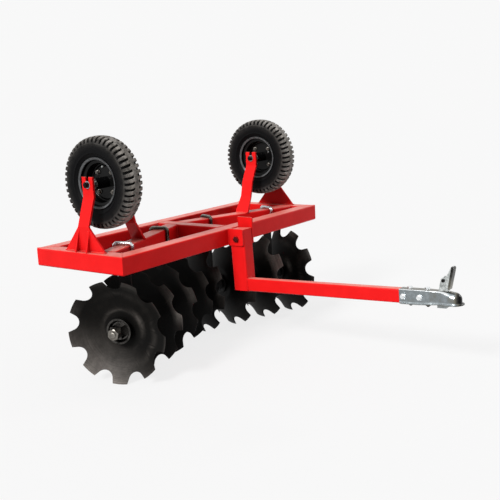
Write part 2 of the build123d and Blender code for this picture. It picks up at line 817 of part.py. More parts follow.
socket = ball_radius + ball_gap
dome = socket + socket_wall
lip_radius = coupler_length - ball_forward
cavity_end = ball_forward - socket - socket_wall
with BuildPart() as coupler:
    with BuildSketch(Plane.XZ):
        with BuildLine():
            Polyline(
                (seat_gap, -half_high),
                (ball_forward, -half_high),
                (ball_forward, dome - ball_down),
                (ball_forward - dome + 4, half_high),
                (seat_gap, half_high),
                close=True,
            )
        make_face()
    extrude(amount=coupler_width / 2, both=True)
    fillet(coupler.edges().filter_by(Axis.X).group_by(Axis.Z)[-1], 8)
    with BuildSketch(Plane.XY.offset(-half_high)):
        with Locations(((coupler_lip_start + ball_forward) / 2, 0)):
            Rectangle(ball_forward - coupler_lip_start, coupler_width + 2 * coupler_lip)
        with Locations((ball_forward, 0)):
            Circle(lip_radius)
    extrude(amount=coupler_lip_sheet)
    with BuildSketch(Plane.XZ):
        with BuildLine():
            Line((ball_forward, -half_high), (ball_forward + dome, -half_high))
            Line((ball_forward + dome, -half_high), (ball_forward + dome, -ball_down))
            CenterArc((ball_forward, -ball_down), dome, 0, 90)
            Line((ball_forward, dome - ball_down), (ball_forward, -half_high))
        make_face()
    revolve(axis=Axis((ball_forward, 0, 0), (0, 0, 1)))
    with BuildSketch(Plane.XZ):
        with BuildLine():
            Polyline(
                (0, -half_high),
                (cavity_end, -half_high),
                (cavity_end, bay_top - socket_wall),
                (cavity_end - socket_wall, bay_top),
                (0, bay_top),
                close=True,
            )
        make_face()
    extrude(amount=bay_half, both=True, mode=Mode.SUBTRACT)
    with BuildSketch(Plane.XZ):
        with BuildLine():
            Line((ball_forward, -half_high), (ball_forward + socket, -half_high))
            Line((ball_forward + socket, -half_high), (ball_forward + socket, -ball_down))
            CenterArc((ball_forward, -ball_down), socket, 0, 90)
            Line((ball_forward, socket - ball_down), (ball_forward, -half_high))
        make_face()
    revolve(axis=Axis((ball_forward, 0, 0), (0, 0, 1)), mode=Mode.SUBTRACT)
    with BuildSketch(Plane.XY):
        with Locations(*[(x, 0) for x in top_bolts_x]):
            Circle(bolt_hole)
        with Locations((lever_pin_x, 0)):
            Circle(clamp_stem + seat_gap)
    extrude(amount=2 * half_high, mode=Mode.SUBTRACT)
    with BuildSketch(Plane.XZ):
        with Locations(*[(x, 0) for x in side_bolts_x]):
            Circle(bolt_hole)
    extrude(amount=coupler_width, both=True, mode=Mode.SUBTRACT)
save(on_bar * coupler.part, "coupler_body")

# Through bolts: two upright, two across
bolts = []
for x in top_bolts_x:
    with BuildPart() as top_bolt:
        with BuildSketch(Plane.XY.offset(half_high + seat_gap + coupler_bolt_head)):
            RegularPolygon(coupler_bolt_across / 2, 6, major_radius=False)
        extrude(amount=-coupler_bolt_head)
        with BuildSketch(Plane.XY.offset(half_high + seat_gap)):
            Circle(coupler_bolt_radius)
        extrude(amount=-(half_high + stub_height / 2 + 2 * seat_gap + coupler_bolt_nut + 4))
        with BuildSketch(Plane.XY.offset(-stub_height / 2 - seat_gap)):
            RegularPolygon(coupler_bolt_across / 2, 6, major_radius=False)
        extrude(amount=-coupler_bolt_nut)
    bolts.append(on_bar * Pos(x, 0, 0) * top_bolt.part)
for x in side_bolts_x:
    with BuildPart() as side_bolt:
        half_wide = coupler_width / 2 + seat_gap
        with BuildSketch(Plane.XZ.offset(half_wide)):
            RegularPolygon(coupler_bolt_across / 2, 6, major_radius=False)
        extrude(amount=coupler_bolt_head)
        with BuildSketch(Plane.XZ.offset(half_wide)):
            Circle(coupler_bolt_radius)
        extrude(amount=-(2 * half_wide + coupler_bolt_nut + 4))
        with BuildSketch(Plane.XZ.offset(-half_wide)):
            RegularPolygon(coupler_bolt_across / 2, 6, major_radius=False)
        extrude(amount=-coupler_bolt_nut)
    bolts.append(on_bar * Pos(x, 0, 0) * side_bolt.part)
save(Compound(bolts), "coupler_bolts")

# Latch: folded bracket on top, pin, lever standing open, and the jaw on its stem
ear_y = bracket_width / 2
with BuildPart() as bracket:
    with BuildSketch(Plane.XZ):
        with BuildLine():
            Polyline(
                (bracket_start, half_high),
                (bracket_end, half_high),
                (lever_pin_x + 12, lever_pin_z + 4),
                (lever_pin_x + 6, lever_pin_z + 11),
                (lever_pin_x - 6, lever_pin_z + 11),
                (lever_pin_x - 12, lever_pin_z + 4),
                close=True,
            )
        make_face()
    extrude(amount=ear_y, both=True)
    with BuildSketch(Plane.XZ):
        with Locations(((bracket_start + bracket_end) / 2, 2 * half_high + bracket_sheet)):
            Rectangle(2 * bracket_end, 2 * half_high)
    extrude(amount=ear_y - bracket_sheet, both=True, mode=Mode.SUBTRACT)
    with BuildSketch(Plane.XZ):
        with Locations((lever_pin_x, lever_pin_z)):
            Circle(lever_pin_radius + seat_gap)
    extrude(amount=coupler_width, both=True, mode=Mode.SUBTRACT)
    with BuildSketch(Plane.XY.offset(half_high)):
        with Locations((lever_pin_x, 0)):
            Circle(clamp_stem + seat_gap)
    extrude(amount=bracket_sheet, mode=Mode.SUBTRACT)
save(on_bar * bracket.part, "coupler_latch_bracket")

cheek_in = ear_y + side_gap
cheek_out = cheek_in + lever_sheet
with BuildPart() as lever:
    with BuildSketch(Plane.XZ):
        with BuildLine():
            Polyline(
                (lever_foot_x, lever_foot_z),
                (lever_foot_x + lever_sheet, lever_foot_z),
                (lever_tip_x + lever_sheet, lever_tip_z - 4),
                (lever_tip_x, lever_tip_z),
                (lever_tip_x - 8, lever_tip_z),
                (lever_pin_x + 22, lever_pin_z + 30),
                (lever_pin_x - 4, lever_pin_z + 11),
                (lever_pin_x - 10, lever_pin_z),
                (lever_pin_x - 4, lever_pin_z - 10),
                close=True,
            )
        make_face()
    extrude(amount=cheek_out, both=True)
    with BuildSketch(Plane.XZ):
        with BuildLine():
            Polyline(
                (lever_foot_x, 0),
                (lever_foot_x, lever_foot_z),
                (lever_tip_x - 6, lever_tip_z - 14),
                (lever_tip_x - 14, lever_tip_z),
                (0, lever_tip_z),
                (0, 0),
                close=True,
            )
        make_face()
    extrude(amount=cheek_in, both=True, mode=Mode.SUBTRACT)
    with BuildSketch(Plane.XZ):
        with Locations((lever_pin_x, lever_pin_z)):
            Circle(lever_pin_radius + running_gap)
    extrude(amount=coupler_width, both=True, mode=Mode.SUBTRACT)
save(on_bar * lever.part, "coupler_lever")

with BuildPart() as lever_pin:
    with BuildSketch(Plane.XZ):
        with Locations((lever_pin_x, lever_pin_z)):
            Circle(lever_pin_radius)
    extrude(amount=cheek_out + side_gap, both=True)
    for way in (-1, 1):
        with BuildSketch(Plane.XZ.offset(way * (cheek_out + side_gap))):
            with Locations((lever_pin_x, lever_pin_z)):
                Circle(lever_pin_radius + 2)
        extrude(amount=way * 2)
save(on_bar * lever_pin.part, "coupler_lever_pin")

with BuildPart() as clamp:
    jaw_top = clamp_depth - clamp_below - half_high
    with BuildSketch(Plane.XY.offset(jaw_top)):
        with Locations((cavity_end - side_gap - clamp_length / 2, 0)):
            Rectangle(clamp_length, 2 * (bay_half - side_gap))
    extrude(amount=-clamp_depth)
    with BuildSketch(Plane.XY.offset(jaw_top)):
        with Locations((lever_pin_x, 0)):
            Circle(clamp_stem)
    extrude(amount=lever_pin_z - lever_pin_radius - seat_gap - jaw_top)
save(on_bar * clamp.part, "coupler_jaw")
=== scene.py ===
# Looks of a small towed disc harrow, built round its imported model. Metres, +X is forward, +Z up.
import json
import math
import random

import bmesh
import bpy
from mathutils import Matrix, Vector

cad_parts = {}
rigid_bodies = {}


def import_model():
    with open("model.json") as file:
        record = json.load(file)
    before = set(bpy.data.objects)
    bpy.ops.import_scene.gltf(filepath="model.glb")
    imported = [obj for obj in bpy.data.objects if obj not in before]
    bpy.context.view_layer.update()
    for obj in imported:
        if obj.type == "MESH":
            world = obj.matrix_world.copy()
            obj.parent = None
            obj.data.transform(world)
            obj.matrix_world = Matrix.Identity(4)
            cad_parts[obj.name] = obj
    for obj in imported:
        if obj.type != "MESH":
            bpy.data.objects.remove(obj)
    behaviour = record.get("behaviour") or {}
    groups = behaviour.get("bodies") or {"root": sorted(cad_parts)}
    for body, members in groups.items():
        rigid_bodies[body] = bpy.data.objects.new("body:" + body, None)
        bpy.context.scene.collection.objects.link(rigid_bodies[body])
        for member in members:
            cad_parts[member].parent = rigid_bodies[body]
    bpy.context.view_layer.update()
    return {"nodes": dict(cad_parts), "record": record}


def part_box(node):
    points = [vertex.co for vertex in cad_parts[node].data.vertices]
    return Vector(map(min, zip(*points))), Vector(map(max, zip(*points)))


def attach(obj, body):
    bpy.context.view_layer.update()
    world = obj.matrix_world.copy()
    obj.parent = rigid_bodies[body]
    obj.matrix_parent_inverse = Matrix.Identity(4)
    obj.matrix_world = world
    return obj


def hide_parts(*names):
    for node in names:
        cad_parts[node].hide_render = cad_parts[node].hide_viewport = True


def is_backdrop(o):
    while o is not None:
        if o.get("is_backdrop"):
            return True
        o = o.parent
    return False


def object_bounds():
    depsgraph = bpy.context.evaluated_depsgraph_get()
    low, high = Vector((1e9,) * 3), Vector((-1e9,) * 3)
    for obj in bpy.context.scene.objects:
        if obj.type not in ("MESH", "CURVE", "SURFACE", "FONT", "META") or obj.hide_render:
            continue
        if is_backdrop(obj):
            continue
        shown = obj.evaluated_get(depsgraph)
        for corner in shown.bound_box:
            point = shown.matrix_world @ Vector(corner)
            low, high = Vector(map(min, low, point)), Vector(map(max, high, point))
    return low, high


for old in list(bpy.data.objects):
    bpy.data.objects.remove(old)
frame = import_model()
nodes = frame["nodes"]
scene = bpy.context.scene
rng = random.Random(7)


# Camera, at the photograph's place and angle
def look(azimuth, pitch, roll):
    """Gives a camera's rotation from its heading, pitch and roll in degrees."""
    a, p, r = (math.radians(v) for v in (azimuth, pitch, roll))
    ahead = Vector((math.cos(a) * math.cos(p), math.sin(a) * math.cos(p), math.sin(p)))
    right = Vector((math.sin(a), -math.cos(a), 0))
    up = right.cross(ahead)
    x = math.cos(r) * right + math.sin(r) * up
    y = -math.sin(r) * right + math.cos(r) * up
    return Matrix((x, y, -ahead)).transposed()


# Fitted camera: the picture's width, focal length and optical centre in pixels
picture, focal, centre_x, centre_y = 500, 803.2, 243.26, 246.04
sensor = 36
frame_bottom, frame_top = (corner.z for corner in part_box("frame_rear_beam"))
x_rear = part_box("frame_rear_beam")[0].x
x_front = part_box("frame_front_beam")[1].x
eye = bpy.data.objects.new("camera", bpy.data.cameras.new("camera"))
scene.collection.objects.link(eye)
scene.camera = eye
eye.rotation_mode = "QUATERNION"
eye.location = (2.79554 + x_rear, -2.99827, 0.62953 + frame_top)
eye.rotation_quaternion = look(126.56, -10.88, -2.83).to_quaternion()
eye.data.sensor_width = sensor
eye.data.lens = focal * sensor / picture
eye.data.shift_x = (picture / 2 - centre_x) / picture
eye.data.shift_y = (centre_y - picture / 2) / picture
eye.data.clip_start = 0.05
eye.data.clip_end = 200
scene.view_settings.view_transform = "Standard"


# Materials
def rgb(colour):
    """Gives a colour as three numbers; a single number is a grey."""
    return colour if isinstance(colour, tuple) else (colour,) * 3


# How far the painted shade in corners reaches, and the colours of dried earth with painted sheen on the
# discs, of dust with painted sky sheen on the red paint's tops, and of worn edges
painted_shade_reach = 0.22
soil_and_sheen_colour = (0.245, 0.220, 0.200)
paint_dust_and_sky_sheen = (0.94, 0.56, 0.45)
worn_steel = (0.62, 0.64, 0.66)


class Nodes:
    """Adds nodes to one material or world and links them."""

    def __init__(self, owner):
        owner.use_nodes = True
        self.tree = owner.node_tree

    def put(self, socket, value):
        """Links an input to another node's output, or gives it a value."""
        if isinstance(value, bpy.types.NodeSocket):
            self.tree.links.new(value, socket)
        elif socket.type == "RGBA":
            socket.default_value = (*rgb(value), 1)
        else:
            socket.default_value = value

    def set(self, node, **values):
        """Sets inputs and properties by name, with _ for a space in an input's name."""
        for key, value in values.items():
            name = key.replace("_", " ")
            if name in node.inputs:
                self.put(node.inputs[name], value)
            else:
                setattr(node, key, value)

    def add(self, kind, **values):
        """Adds a node of a kind, with its inputs and properties."""
        node = self.tree.nodes.new("ShaderNode" + kind)
        self.set(node, **values)
        return node

    def math(self, operation, a, b, clamp=False):
        node = self.add("Math", operation=operation, use_clamp=clamp)
        self.put(node.inputs[0], a)
        self.put(node.inputs[1], b)
        return node.outputs[0]

    def map_range(self, value, from_min, from_max, to_min, to_max):
        node = self.add("MapRange", Value=value, From_Min=from_min, From_Max=from_max)
        self.set(node, To_Min=to_min, To_Max=to_max)
        return node.outputs["Result"]

    def noise(self, scale, detail, rough):
        """Noise that moves with the object."""
        place = self.add("TexCoord").outputs["Object"]
        return self.add("TexNoise", Vector=place, Scale=scale, Detail=detail, Roughness=rough).outputs["Fac"]

    def attribute(self, name):
        """The number that a mesh stores on each point under a name."""
        return self.add("Attribute", attribute_name=name).outputs["Fac"]

    def ramp(self, source, *stops):
        """Turns a value into colours, by stops of (position, colour)."""
        node = self.add("ValToRGB", Fac=source)
        line = node.color_ramp.elements
        while len(line) < len(stops):
            line.new(0.5)
        for item, (place, colour) in zip(line, stops):
            item.position = place
            item.color = (*rgb(colour), 1)
        return node.outputs["Color"]

    def mix(self, factor, a, b, kind="MIX"):
        node = self.add("Mix", data_type="RGBA", blend_type=kind)
        for index, value in ((0, factor), (6, a), (7, b)):
            self.put(node.inputs[index], value)
        return node.outputs[2]

    def painted_shade_in_nooks(self, colour, *stops):
        """Darkens a colour where near surfaces close it in: painted shade in corners."""
        room = self.add("AmbientOcclusion", samples=8, Distance=painted_shade_reach).outputs["AO"]
        return self.mix(1.0, colour, self.ramp(room, *stops), "MULTIPLY")

    def bump(self, height, strength, distance=0.0004, **before):
        """Makes a normal from a height; Normal=... lays it over an earlier one."""
        node = self.add("Bump", Height=height, Strength=strength, Distance=distance, **before)
        return node.outputs["Normal"]

    def mix_shaders(self, factor, first, second):
        node = self.add("MixShader", Fac=factor)
        self.put(node.inputs[1], first.outputs[0])
        self.put(node.inputs[2], second.outputs[0])
        return node.outputs[0]


def material(name):
    """Makes a material, and returns it with its nodes and its shader."""
    made = bpy.data.materials.new(name)
    n = Nodes(made)
    return made, n, n.tree.nodes["Principled BSDF"]


def paint(name, base, deep, rough, level, texture=0.25, pale_layer=0.0):
    """Sprayed gloss paint with a little orange peel and thin spots; where asked, dust with a painted sky
    sheen on its tops and painted shade in corners.
    """
    made, n, shader = material(name)
    colour = n.ramp(n.noise(9, 5, 0.6), (0.25, deep), (0.7, base))
    # Where asked: a pale pink layer on upward faces, dust with a painted sky sheen, and painted shade in
    # corners.
    if pale_layer:
        normal = n.add("NewGeometry").outputs["Normal"]
        up = n.ramp(n.add("SeparateXYZ", Vector=normal).outputs["Z"], (0.70, 0.0), (0.98, 1.0))
        patchy = n.ramp(n.noise(14, 6, 0.7), (0.30, 0.45 * pale_layer), (0.68, pale_layer))
        colour = n.mix(n.math("MULTIPLY", up, patchy), colour, paint_dust_and_sky_sheen)
        colour = n.painted_shade_in_nooks(colour, (0.20, (0.42, 0.36, 0.36)), (0.80, 1.0))
    worn = n.ramp(n.noise(30, 6, 0.7), (0.3, rough), (0.75, rough + 0.12))
    peel = n.bump(n.noise(260, 3, 0.5), texture)
    n.set(shader, Base_Color=colour, Roughness=worn, Specular_IOR_Level=level, Normal=peel)
    return made


def rim_paint():
    """Black enamel, worn to a shine where the attribute 'shine' marks it."""
    made, n, shader = material("rim_paint")
    worn = n.ramp(n.noise(40, 6, 0.7), (0.30, 0.35), (0.60, 1.0))
    shine = n.math("MULTIPLY", n.attribute("shine"), worn, True)
    dull = n.ramp(n.noise(9, 5, 0.6), (0.3, 0.0022), (0.7, 0.0044))
    n.set(
        shader,
        Base_Color=n.mix(shine, dull, worn_steel),
        Metallic=shine,
        Roughness=n.ramp(n.noise(60, 5, 0.6), (0.3, 0.14), (0.7, 0.26)),
        Specular_IOR_Level=0.13,
        Normal=n.bump(n.noise(240, 4, 0.6), 0.2),
    )
    return made


def metal(name, base, dark, rough, grain, strength, metallic=1.0, level=0.5, clouds=22):
    """Metal with cloudy colour, uneven shine and fine grain."""
    made, n, shader = material(name)
    n.set(
        shader,
        Base_Color=n.ramp(n.noise(clouds, 6, 0.65), (0.3, dark), (0.68, base)),
        Roughness=n.ramp(n.noise(75, 5, 0.6), (0.3, rough[0]), (0.7, rough[1])),
        Metallic=metallic,
        Specular_IOR_Level=level,
        Normal=n.bump(n.noise(grain, 4, 0.6), strength),
    )
    return made


def plated_steel():
    """Plated steel: the attribute 'tone' runs from dark and oily over olive and blue-grey to bright; on the
    coupler, U-bolts, fixings and lever grip it holds painted highlights and painted shade.
    """
    made, n, shader = material("plated_steel")
    change = n.map_range(n.noise(60, 6, 0.65), 0.3, 0.7, -0.09, 0.06)
    tones = n.ramp(
        n.math("ADD", n.attribute("tone"), change),
        (0.02, 0.010), (0.20, (0.060, 0.060, 0.055)), (0.38, (0.190, 0.180, 0.145)),
        (0.58, (0.250, 0.280, 0.295)), (0.78, (0.440, 0.490, 0.510)), (0.97, (0.930, 0.950, 0.960)),
    )
    n.set(
        shader,
        Base_Color=tones,
        Roughness=n.ramp(n.noise(90, 5, 0.6), (0.3, 0.16), (0.7, 0.34)),
        Metallic=1.0,
        Normal=n.bump(n.noise(420, 4, 0.6), 0.22),
    )
    return made


def disc_material():
    """Dark rolled disc steel with rings round its axis, dried earth with painted sheen and highlights where
    its attribute marks it, and painted shade between the discs.
    """
    made, n, shader = material("disc_steel")
    uv = n.add("SeparateXYZ", Vector=n.add("UVMap", uv_map="polar").outputs["UV"]).outputs
    outward, around = n.math("MULTIPLY", uv["X"], 900), n.math("MULTIPLY", uv["Y"], 3.0)
    rows = n.add("CombineXYZ", X=outward, Y=around).outputs[0]
    rings = n.add("TexNoise", Vector=rows, Scale=1.0, Detail=5, Roughness=0.7).outputs["Fac"]
    steel = n.ramp(
        n.noise(7, 6, 0.6), (0.25, 0.002), (0.55, (0.005, 0.0045, 0.004)), (0.8, (0.016, 0.014, 0.012))
    )
    spread = n.ramp(n.noise(26, 7, 0.72), (0.30, 0.50), (0.66, 1.0))
    streaked = n.math("MULTIPLY", spread, n.map_range(rings, 0.36, 0.64, 0.55, 1.35))
    soil_and_sheen_mask = n.math("MULTIPLY", n.attribute("soil_and_painted_light"), streaked, True)
    ridges = n.bump(rings, 0.35, 0.0006)
    # Dried earth with painted sheen and highlights mixed into the steel, and painted shade between the
    # discs.
    n.set(
        shader,
        Base_Color=n.painted_shade_in_nooks(n.mix(soil_and_sheen_mask, steel, soil_and_sheen_colour), (0.25, 0.30), (0.80, 1.0)),
        Roughness=n.ramp(rings, (0.3, 0.34), (0.7, 0.56)),
        Metallic=0.06,
        Specular_IOR_Level=0.06,
        Normal=n.bump(n.noise(160, 5, 0.7), 0.3, 0.0005, Normal=ridges),
    )
    return made


def rubber():
    """Black rubber, with grey-brown dust on what the attribute 'dust' marks."""
    made, n, shader = material("tyre_rubber")
    spread = n.ramp(n.noise(38, 7, 0.7), (0.34, 0.22), (0.60, 1.0))
    pale_layer = n.math("MULTIPLY", n.attribute("dust"), spread)
    tint = n.ramp(n.noise(11, 5, 0.6), (0.3, (0.33, 0.30, 0.265)), (0.7, (0.54, 0.51, 0.48)))
    n.set(
        shader,
        Base_Color=n.mix(pale_layer, (0.0040, 0.0040, 0.0044), tint),
        Roughness=n.ramp(pale_layer, (0.0, 0.52), (0.6, 0.92)),
        Specular_IOR_Level=0.05,
        Normal=n.bump(n.noise(480, 6, 0.7), 0.5),
    )
    return made


red = paint("red_paint", (0.88, 0.0125, 0.0130), (0.77, 0.0085, 0.0090), 0.30, 0.10, 0.25, 0.50)
black_gloss = paint("black_paint", (0.0040, 0.0040, 0.0044), (0.0022, 0.0022, 0.0022), 0.20, 0.13)
rim_black = rim_paint()
zinc = metal("zinc_steel", (0.34, 0.37, 0.385), (0.14, 0.145, 0.125), (0.18, 0.36), 420, 0.25)
bare = metal("bare_steel", (0.26, 0.245, 0.22), (0.09, 0.08, 0.07), (0.28, 0.50), 300, 0.5)
casting = metal(
    "black_casting", (0.0065, 0.0060, 0.0055), (0.0025, 0.0025, 0.0025), (0.42, 0.66), 520, 0.9, 0.0, 0.14
)
plated = plated_steel()
pale = metal("pale_zinc", (0.80, 0.83, 0.82), (0.22, 0.24, 0.23), (0.20, 0.40), 420, 0.3, clouds=95)
cup = metal("cup_steel", (0.110, 0.104, 0.098), (0.012, 0.011, 0.010), (0.20, 0.42), 300, 0.5, clouds=30)
disc_steel = disc_material()
tyre_rubber = rubber()
materials = {
    "red_paint": red,
    "black_paint": black_gloss,
    "zinc_steel": zinc,
    "bare_steel": bare,
    "black_casting": casting,
    "disc_steel": disc_steel,
    "tyre_rubber": tyre_rubber,
}
node_materials = {"coupler_latch_bracket": pale, "coupler_lever_pin": casting}


# Mesh helpers
class Shape:
    """A growing list of points and faces."""

    def __init__(self):
        self.points = []
        self.faces = []

    def add(self, points, faces, place=None):
        first = len(self.points)
        if place is not None:
            points = [place @ Vector(p) for p in points]
        self.points.extend(tuple(p) for p in points)
        self.faces.extend(tuple(i + first for i in f) for f in faces)


def soften(obj, width, angle):
    """Rounds the edges that are sharper than an angle in degrees."""
    mod = obj.modifiers.new("edges", "BEVEL")
    mod.width = width
    mod.segments = 2
    mod.limit_method = "ANGLE"
    mod.angle_limit = math.radians(angle)
    mod.harden_normals = True


def make(name, shape, look_of, body, angle=30, merge=1e-6, bevel=0.0):
    """Turns a shape into a piece that rides on a body."""
    mesh = bpy.data.meshes.new(name)
    mesh.from_pydata(shape.points, [], shape.faces)
    bm = bmesh.new()
    bm.from_mesh(mesh)
    bmesh.ops.remove_doubles(bm, verts=bm.verts, dist=merge)
    bmesh.ops.dissolve_degenerate(bm, dist=1e-7, edges=bm.edges)
    bmesh.ops.recalc_face_normals(bm, faces=bm.faces)
    bm.to_mesh(mesh)
    bm.free()
    mesh.shade_smooth()
    mesh.set_sharp_from_angle(angle=math.radians(angle))
    obj = bpy.data.objects.new(name, mesh)
    scene.collection.objects.link(obj)
    mesh.materials.append(look_of)
    if bevel:
        soften(obj, bevel, 40)
    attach(obj, body)
    return obj


def mark(obj, name, rule):
    """Stores a number on each point, from its place and its normal."""
    layer = obj.data.attributes.new(name, "FLOAT", "POINT")
    for i, v in enumerate(obj.data.vertices):
        layer.data[i].value = min(1.0, max(0.0, rule(v.co, v.normal)))


def grid_faces(rows, columns, loop_rows=False, loop_columns=False):
    """Quads between rows * columns points."""
    faces = []
    for i in range(rows if loop_rows else rows - 1):
        for j in range(columns if loop_columns else columns - 1):
            a = i * columns + j
            b = i * columns + (j + 1) % columns
            c = ((i + 1) % rows) * columns + (j + 1) % columns
            d = ((i + 1) % rows) * columns + j
            faces.append((a, b, c, d))
    return faces


def polar(r, t, z):
    """The point at a radius and an angle round local z."""
    return r * math.cos(t), r * math.sin(t), z


def lathe(profile, count, closed=False):
    """Turns (radius, height) points round local z."""
    points = [polar(r, 2 * math.pi * k / count, z) for r, z in profile for k in range(count)]
    return points, grid_faces(len(profile), count, closed, True)


def nut(across, height, bore, count=48):
    """Hexagon nut or bolt head with chamfered corners, standing on local z = 0."""
    chamfer = 0.5774
    flat = across / 2
    crown = flat * 0.955
    rows = [[] for _ in range(6)]
    for k in range(count):
        t = 2 * math.pi * k / count
        corner = flat / math.cos((t % (math.pi / 3)) - math.pi / 6)
        drop = max(0.0, corner - crown) * chamfer
        line = [(bore, height * 0.98), (crown, height), (corner, height - drop), (corner, drop * 0.6),
                (crown, 0.0), (bore, 0.0)]
        for row, (r, z) in zip(rows, line):
            row.append(polar(r, t, z))
    return sum(rows, []), grid_faces(6, count, bore > 0, True)


def thread(radius, low, high, pitch, count=20):
    """Threaded stud along local z from low to high, with a chamfered end."""
    depth = pitch * 0.55
    steps = max(8, int((high - low) / pitch * 5))
    points = []
    for i in range(steps + 1):
        z = low + (high - low) * i / steps
        for k in range(count):
            phase = (z / pitch - k / count) % 1.0
            points.append(polar(radius - depth * abs(2 * phase - 1), 2 * math.pi * k / count, z))
    end = high + pitch * 0.4
    points += lathe([(radius * 0.80, end), (0.0, end)], count)[0]
    return points, grid_faces(steps + 3, count, False, True)


def ring(inner, outer, low, high):
    """Washer or sleeve with rounded edges."""
    e = min(0.0006, (high - low) / 3, (outer - inner) / 3)
    profile = [
        (inner, low + e), (inner + e, low), (outer - e, low), (outer, low + e),
        (outer, high - e), (outer - e, high), (inner + e, high), (inner, high - e),
    ]
    return lathe(profile, 40, True)


def path_tube(path, radii, count):
    """Sweeps a circle along a path, with a radius for each point."""
    path = [Vector(p) for p in path]
    points = []
    side = (path[1] - path[0]).normalized().orthogonal().normalized()
    for i, p in enumerate(path):
        ahead = (path[min(i + 1, len(path) - 1)] - path[max(i - 1, 0)]).normalized()
        side = (side - ahead * side.dot(ahead)).normalized()
        other = ahead.cross(side)
        for k in range(count):
            t = 2 * math.pi * k / count
            points.append(p + radii[i] * (math.cos(t) * side + math.sin(t) * other))
    faces = grid_faces(len(path), count, False, True)
    last = (len(path) - 1) * count
    return points, faces + [tuple(range(count)), tuple(range(last, last + count))]


def arc(cx, cz, r, start, end, steps=8):
    """Points on an arc, between two angles in degrees."""
    turns = [math.radians(start + (end - start) * i / steps) for i in range(steps + 1)]
    return [(cx + r * math.cos(t), cz + r * math.sin(t)) for t in turns]


def mirrored(line):
    """The same (radius, offset) points on the other side, in the opposite order."""
    return [(r, -z) for r, z in reversed(line)]


def smooth(f):
    """Eases a share from 0 to 1."""
    f = min(1.0, max(0.0, f))
    return f * f * (3 - 2 * f)


def bead(path, size):
    """Weld bead along straight runs: overlapping scales of a slightly uneven size."""
    step, scale_length = 0.0016, 0.0042
    path = [Vector(p) for p in path]
    points, radii = [], []
    drift = 0.0
    for a, b in zip(path, path[1:]):
        run = (b - a).length
        steps = max(2, int(run / step))
        for i in range(steps + (b is path[-1])):
            s = i / steps
            along = s * run / scale_length
            scale = 0.80 + 0.20 * abs(math.sin(math.pi * along))
            drift = 0.9 * drift + 0.1 * rng.uniform(-1, 1)
            points.append(a.lerp(b, s))
            radii.append(size * (scale + 0.25 * drift))
    return path_tube(points, radii, 8)


def at(x, y, z):
    """A move, as a matrix."""
    return Matrix.Translation((x, y, z))


def spun(turn, axis):
    """A turn about an axis, as a matrix."""
    return Matrix.Rotation(turn, 4, axis)


def basis(origin, x_dir, y_dir, z_dir):
    """A place with its own axes, as a matrix."""
    m = Matrix((x_dir, y_dir, z_dir)).transposed().to_4x4()
    m.translation = Vector(origin)
    return m


# Sizes shared with the solids
tube = 0.070
half_span = 0.750
inner_span = half_span - tube
rear_gap, front_gap = 0.0420, 0.0405
gang_room = x_front - x_rear - 2 * tube - rear_gap - front_gap
lean = math.acos(tube / math.hypot(gang_room, inner_span)) - math.atan2(inner_span, gang_room)
sin_a, cos_a = math.sin(lean), math.cos(lean)
x_apex = x_rear + tube + rear_gap + tube / 2 / cos_a
axle_z = 0.230
disc_r, disc_t, disc_curve, disc_flat = 0.230, 0.004, 0.430, 0.088
dish_flat = math.sqrt(disc_curve**2 - disc_flat**2)
disc_dish = dish_flat - math.sqrt(disc_curve**2 - disc_r**2)
inner_hub, disc_inset = 0.0656, 0.079
disc_pitch = ((half_span - disc_inset) / cos_a - disc_dish - inner_hub) / 3
hubs = [inner_hub + disc_pitch * n for n in (3, 2, 1, 0)]
bearings = [hubs[0] - (disc_pitch - disc_dish) / 2, hubs[2] - (disc_pitch - disc_dish) / 2]
disc_turns = {"right": (0, 1, 3, 0), "left": (0, 0, 0, 0)}
sides = {"right": -1, "left": 1}
fit = 0.0003

# Fasteners: thread radius, pitch and width across the flats
rod_r, rod_pitch, rod_across = 0.0080, 0.0020, 0.024
bolt_r, bolt_pitch, bolt_across = 0.0060, 0.00175, 0.019
stud_r, stud_pitch, stud_across = 0.0130, 0.0030, 0.046
rim_r, rim_pitch, rim_across = 0.0049, 0.0015, 0.017


def gang_place(side):
    """Local x forward, y up, z outward along the gang."""
    s = sides[side]
    return basis((x_apex, 0, axle_z), (cos_a, -s * sin_a, 0), (0, 0, 1), (sin_a, s * cos_a, 0))


# Carried-over nodes: materials, and softened edges by modifiers
slots = {p["node"]: p["material_slot"] for p in frame["record"]["subparts"]}
soft_edges = ("frame_", "gang_beam", "gang_hangers", "gang_bearing", "gang_end", "gang_spools",
              "wheel_arm", "drawbar_upright", "drawbar_beam", "drawbar_ears", "wheel_hub")
for name, node in nodes.items():
    look_of = cup if "washer" in name else node_materials.get(name, materials[slots[name]])
    if not node.material_slots:
        node.data.materials.append(look_of)
    for place in node.material_slots:
        place.material = look_of
    if name.startswith(soft_edges):
        node.modifiers.new("join", "WELD").merge_threshold = 2e-5
        soften(node, 0.0010, 42)


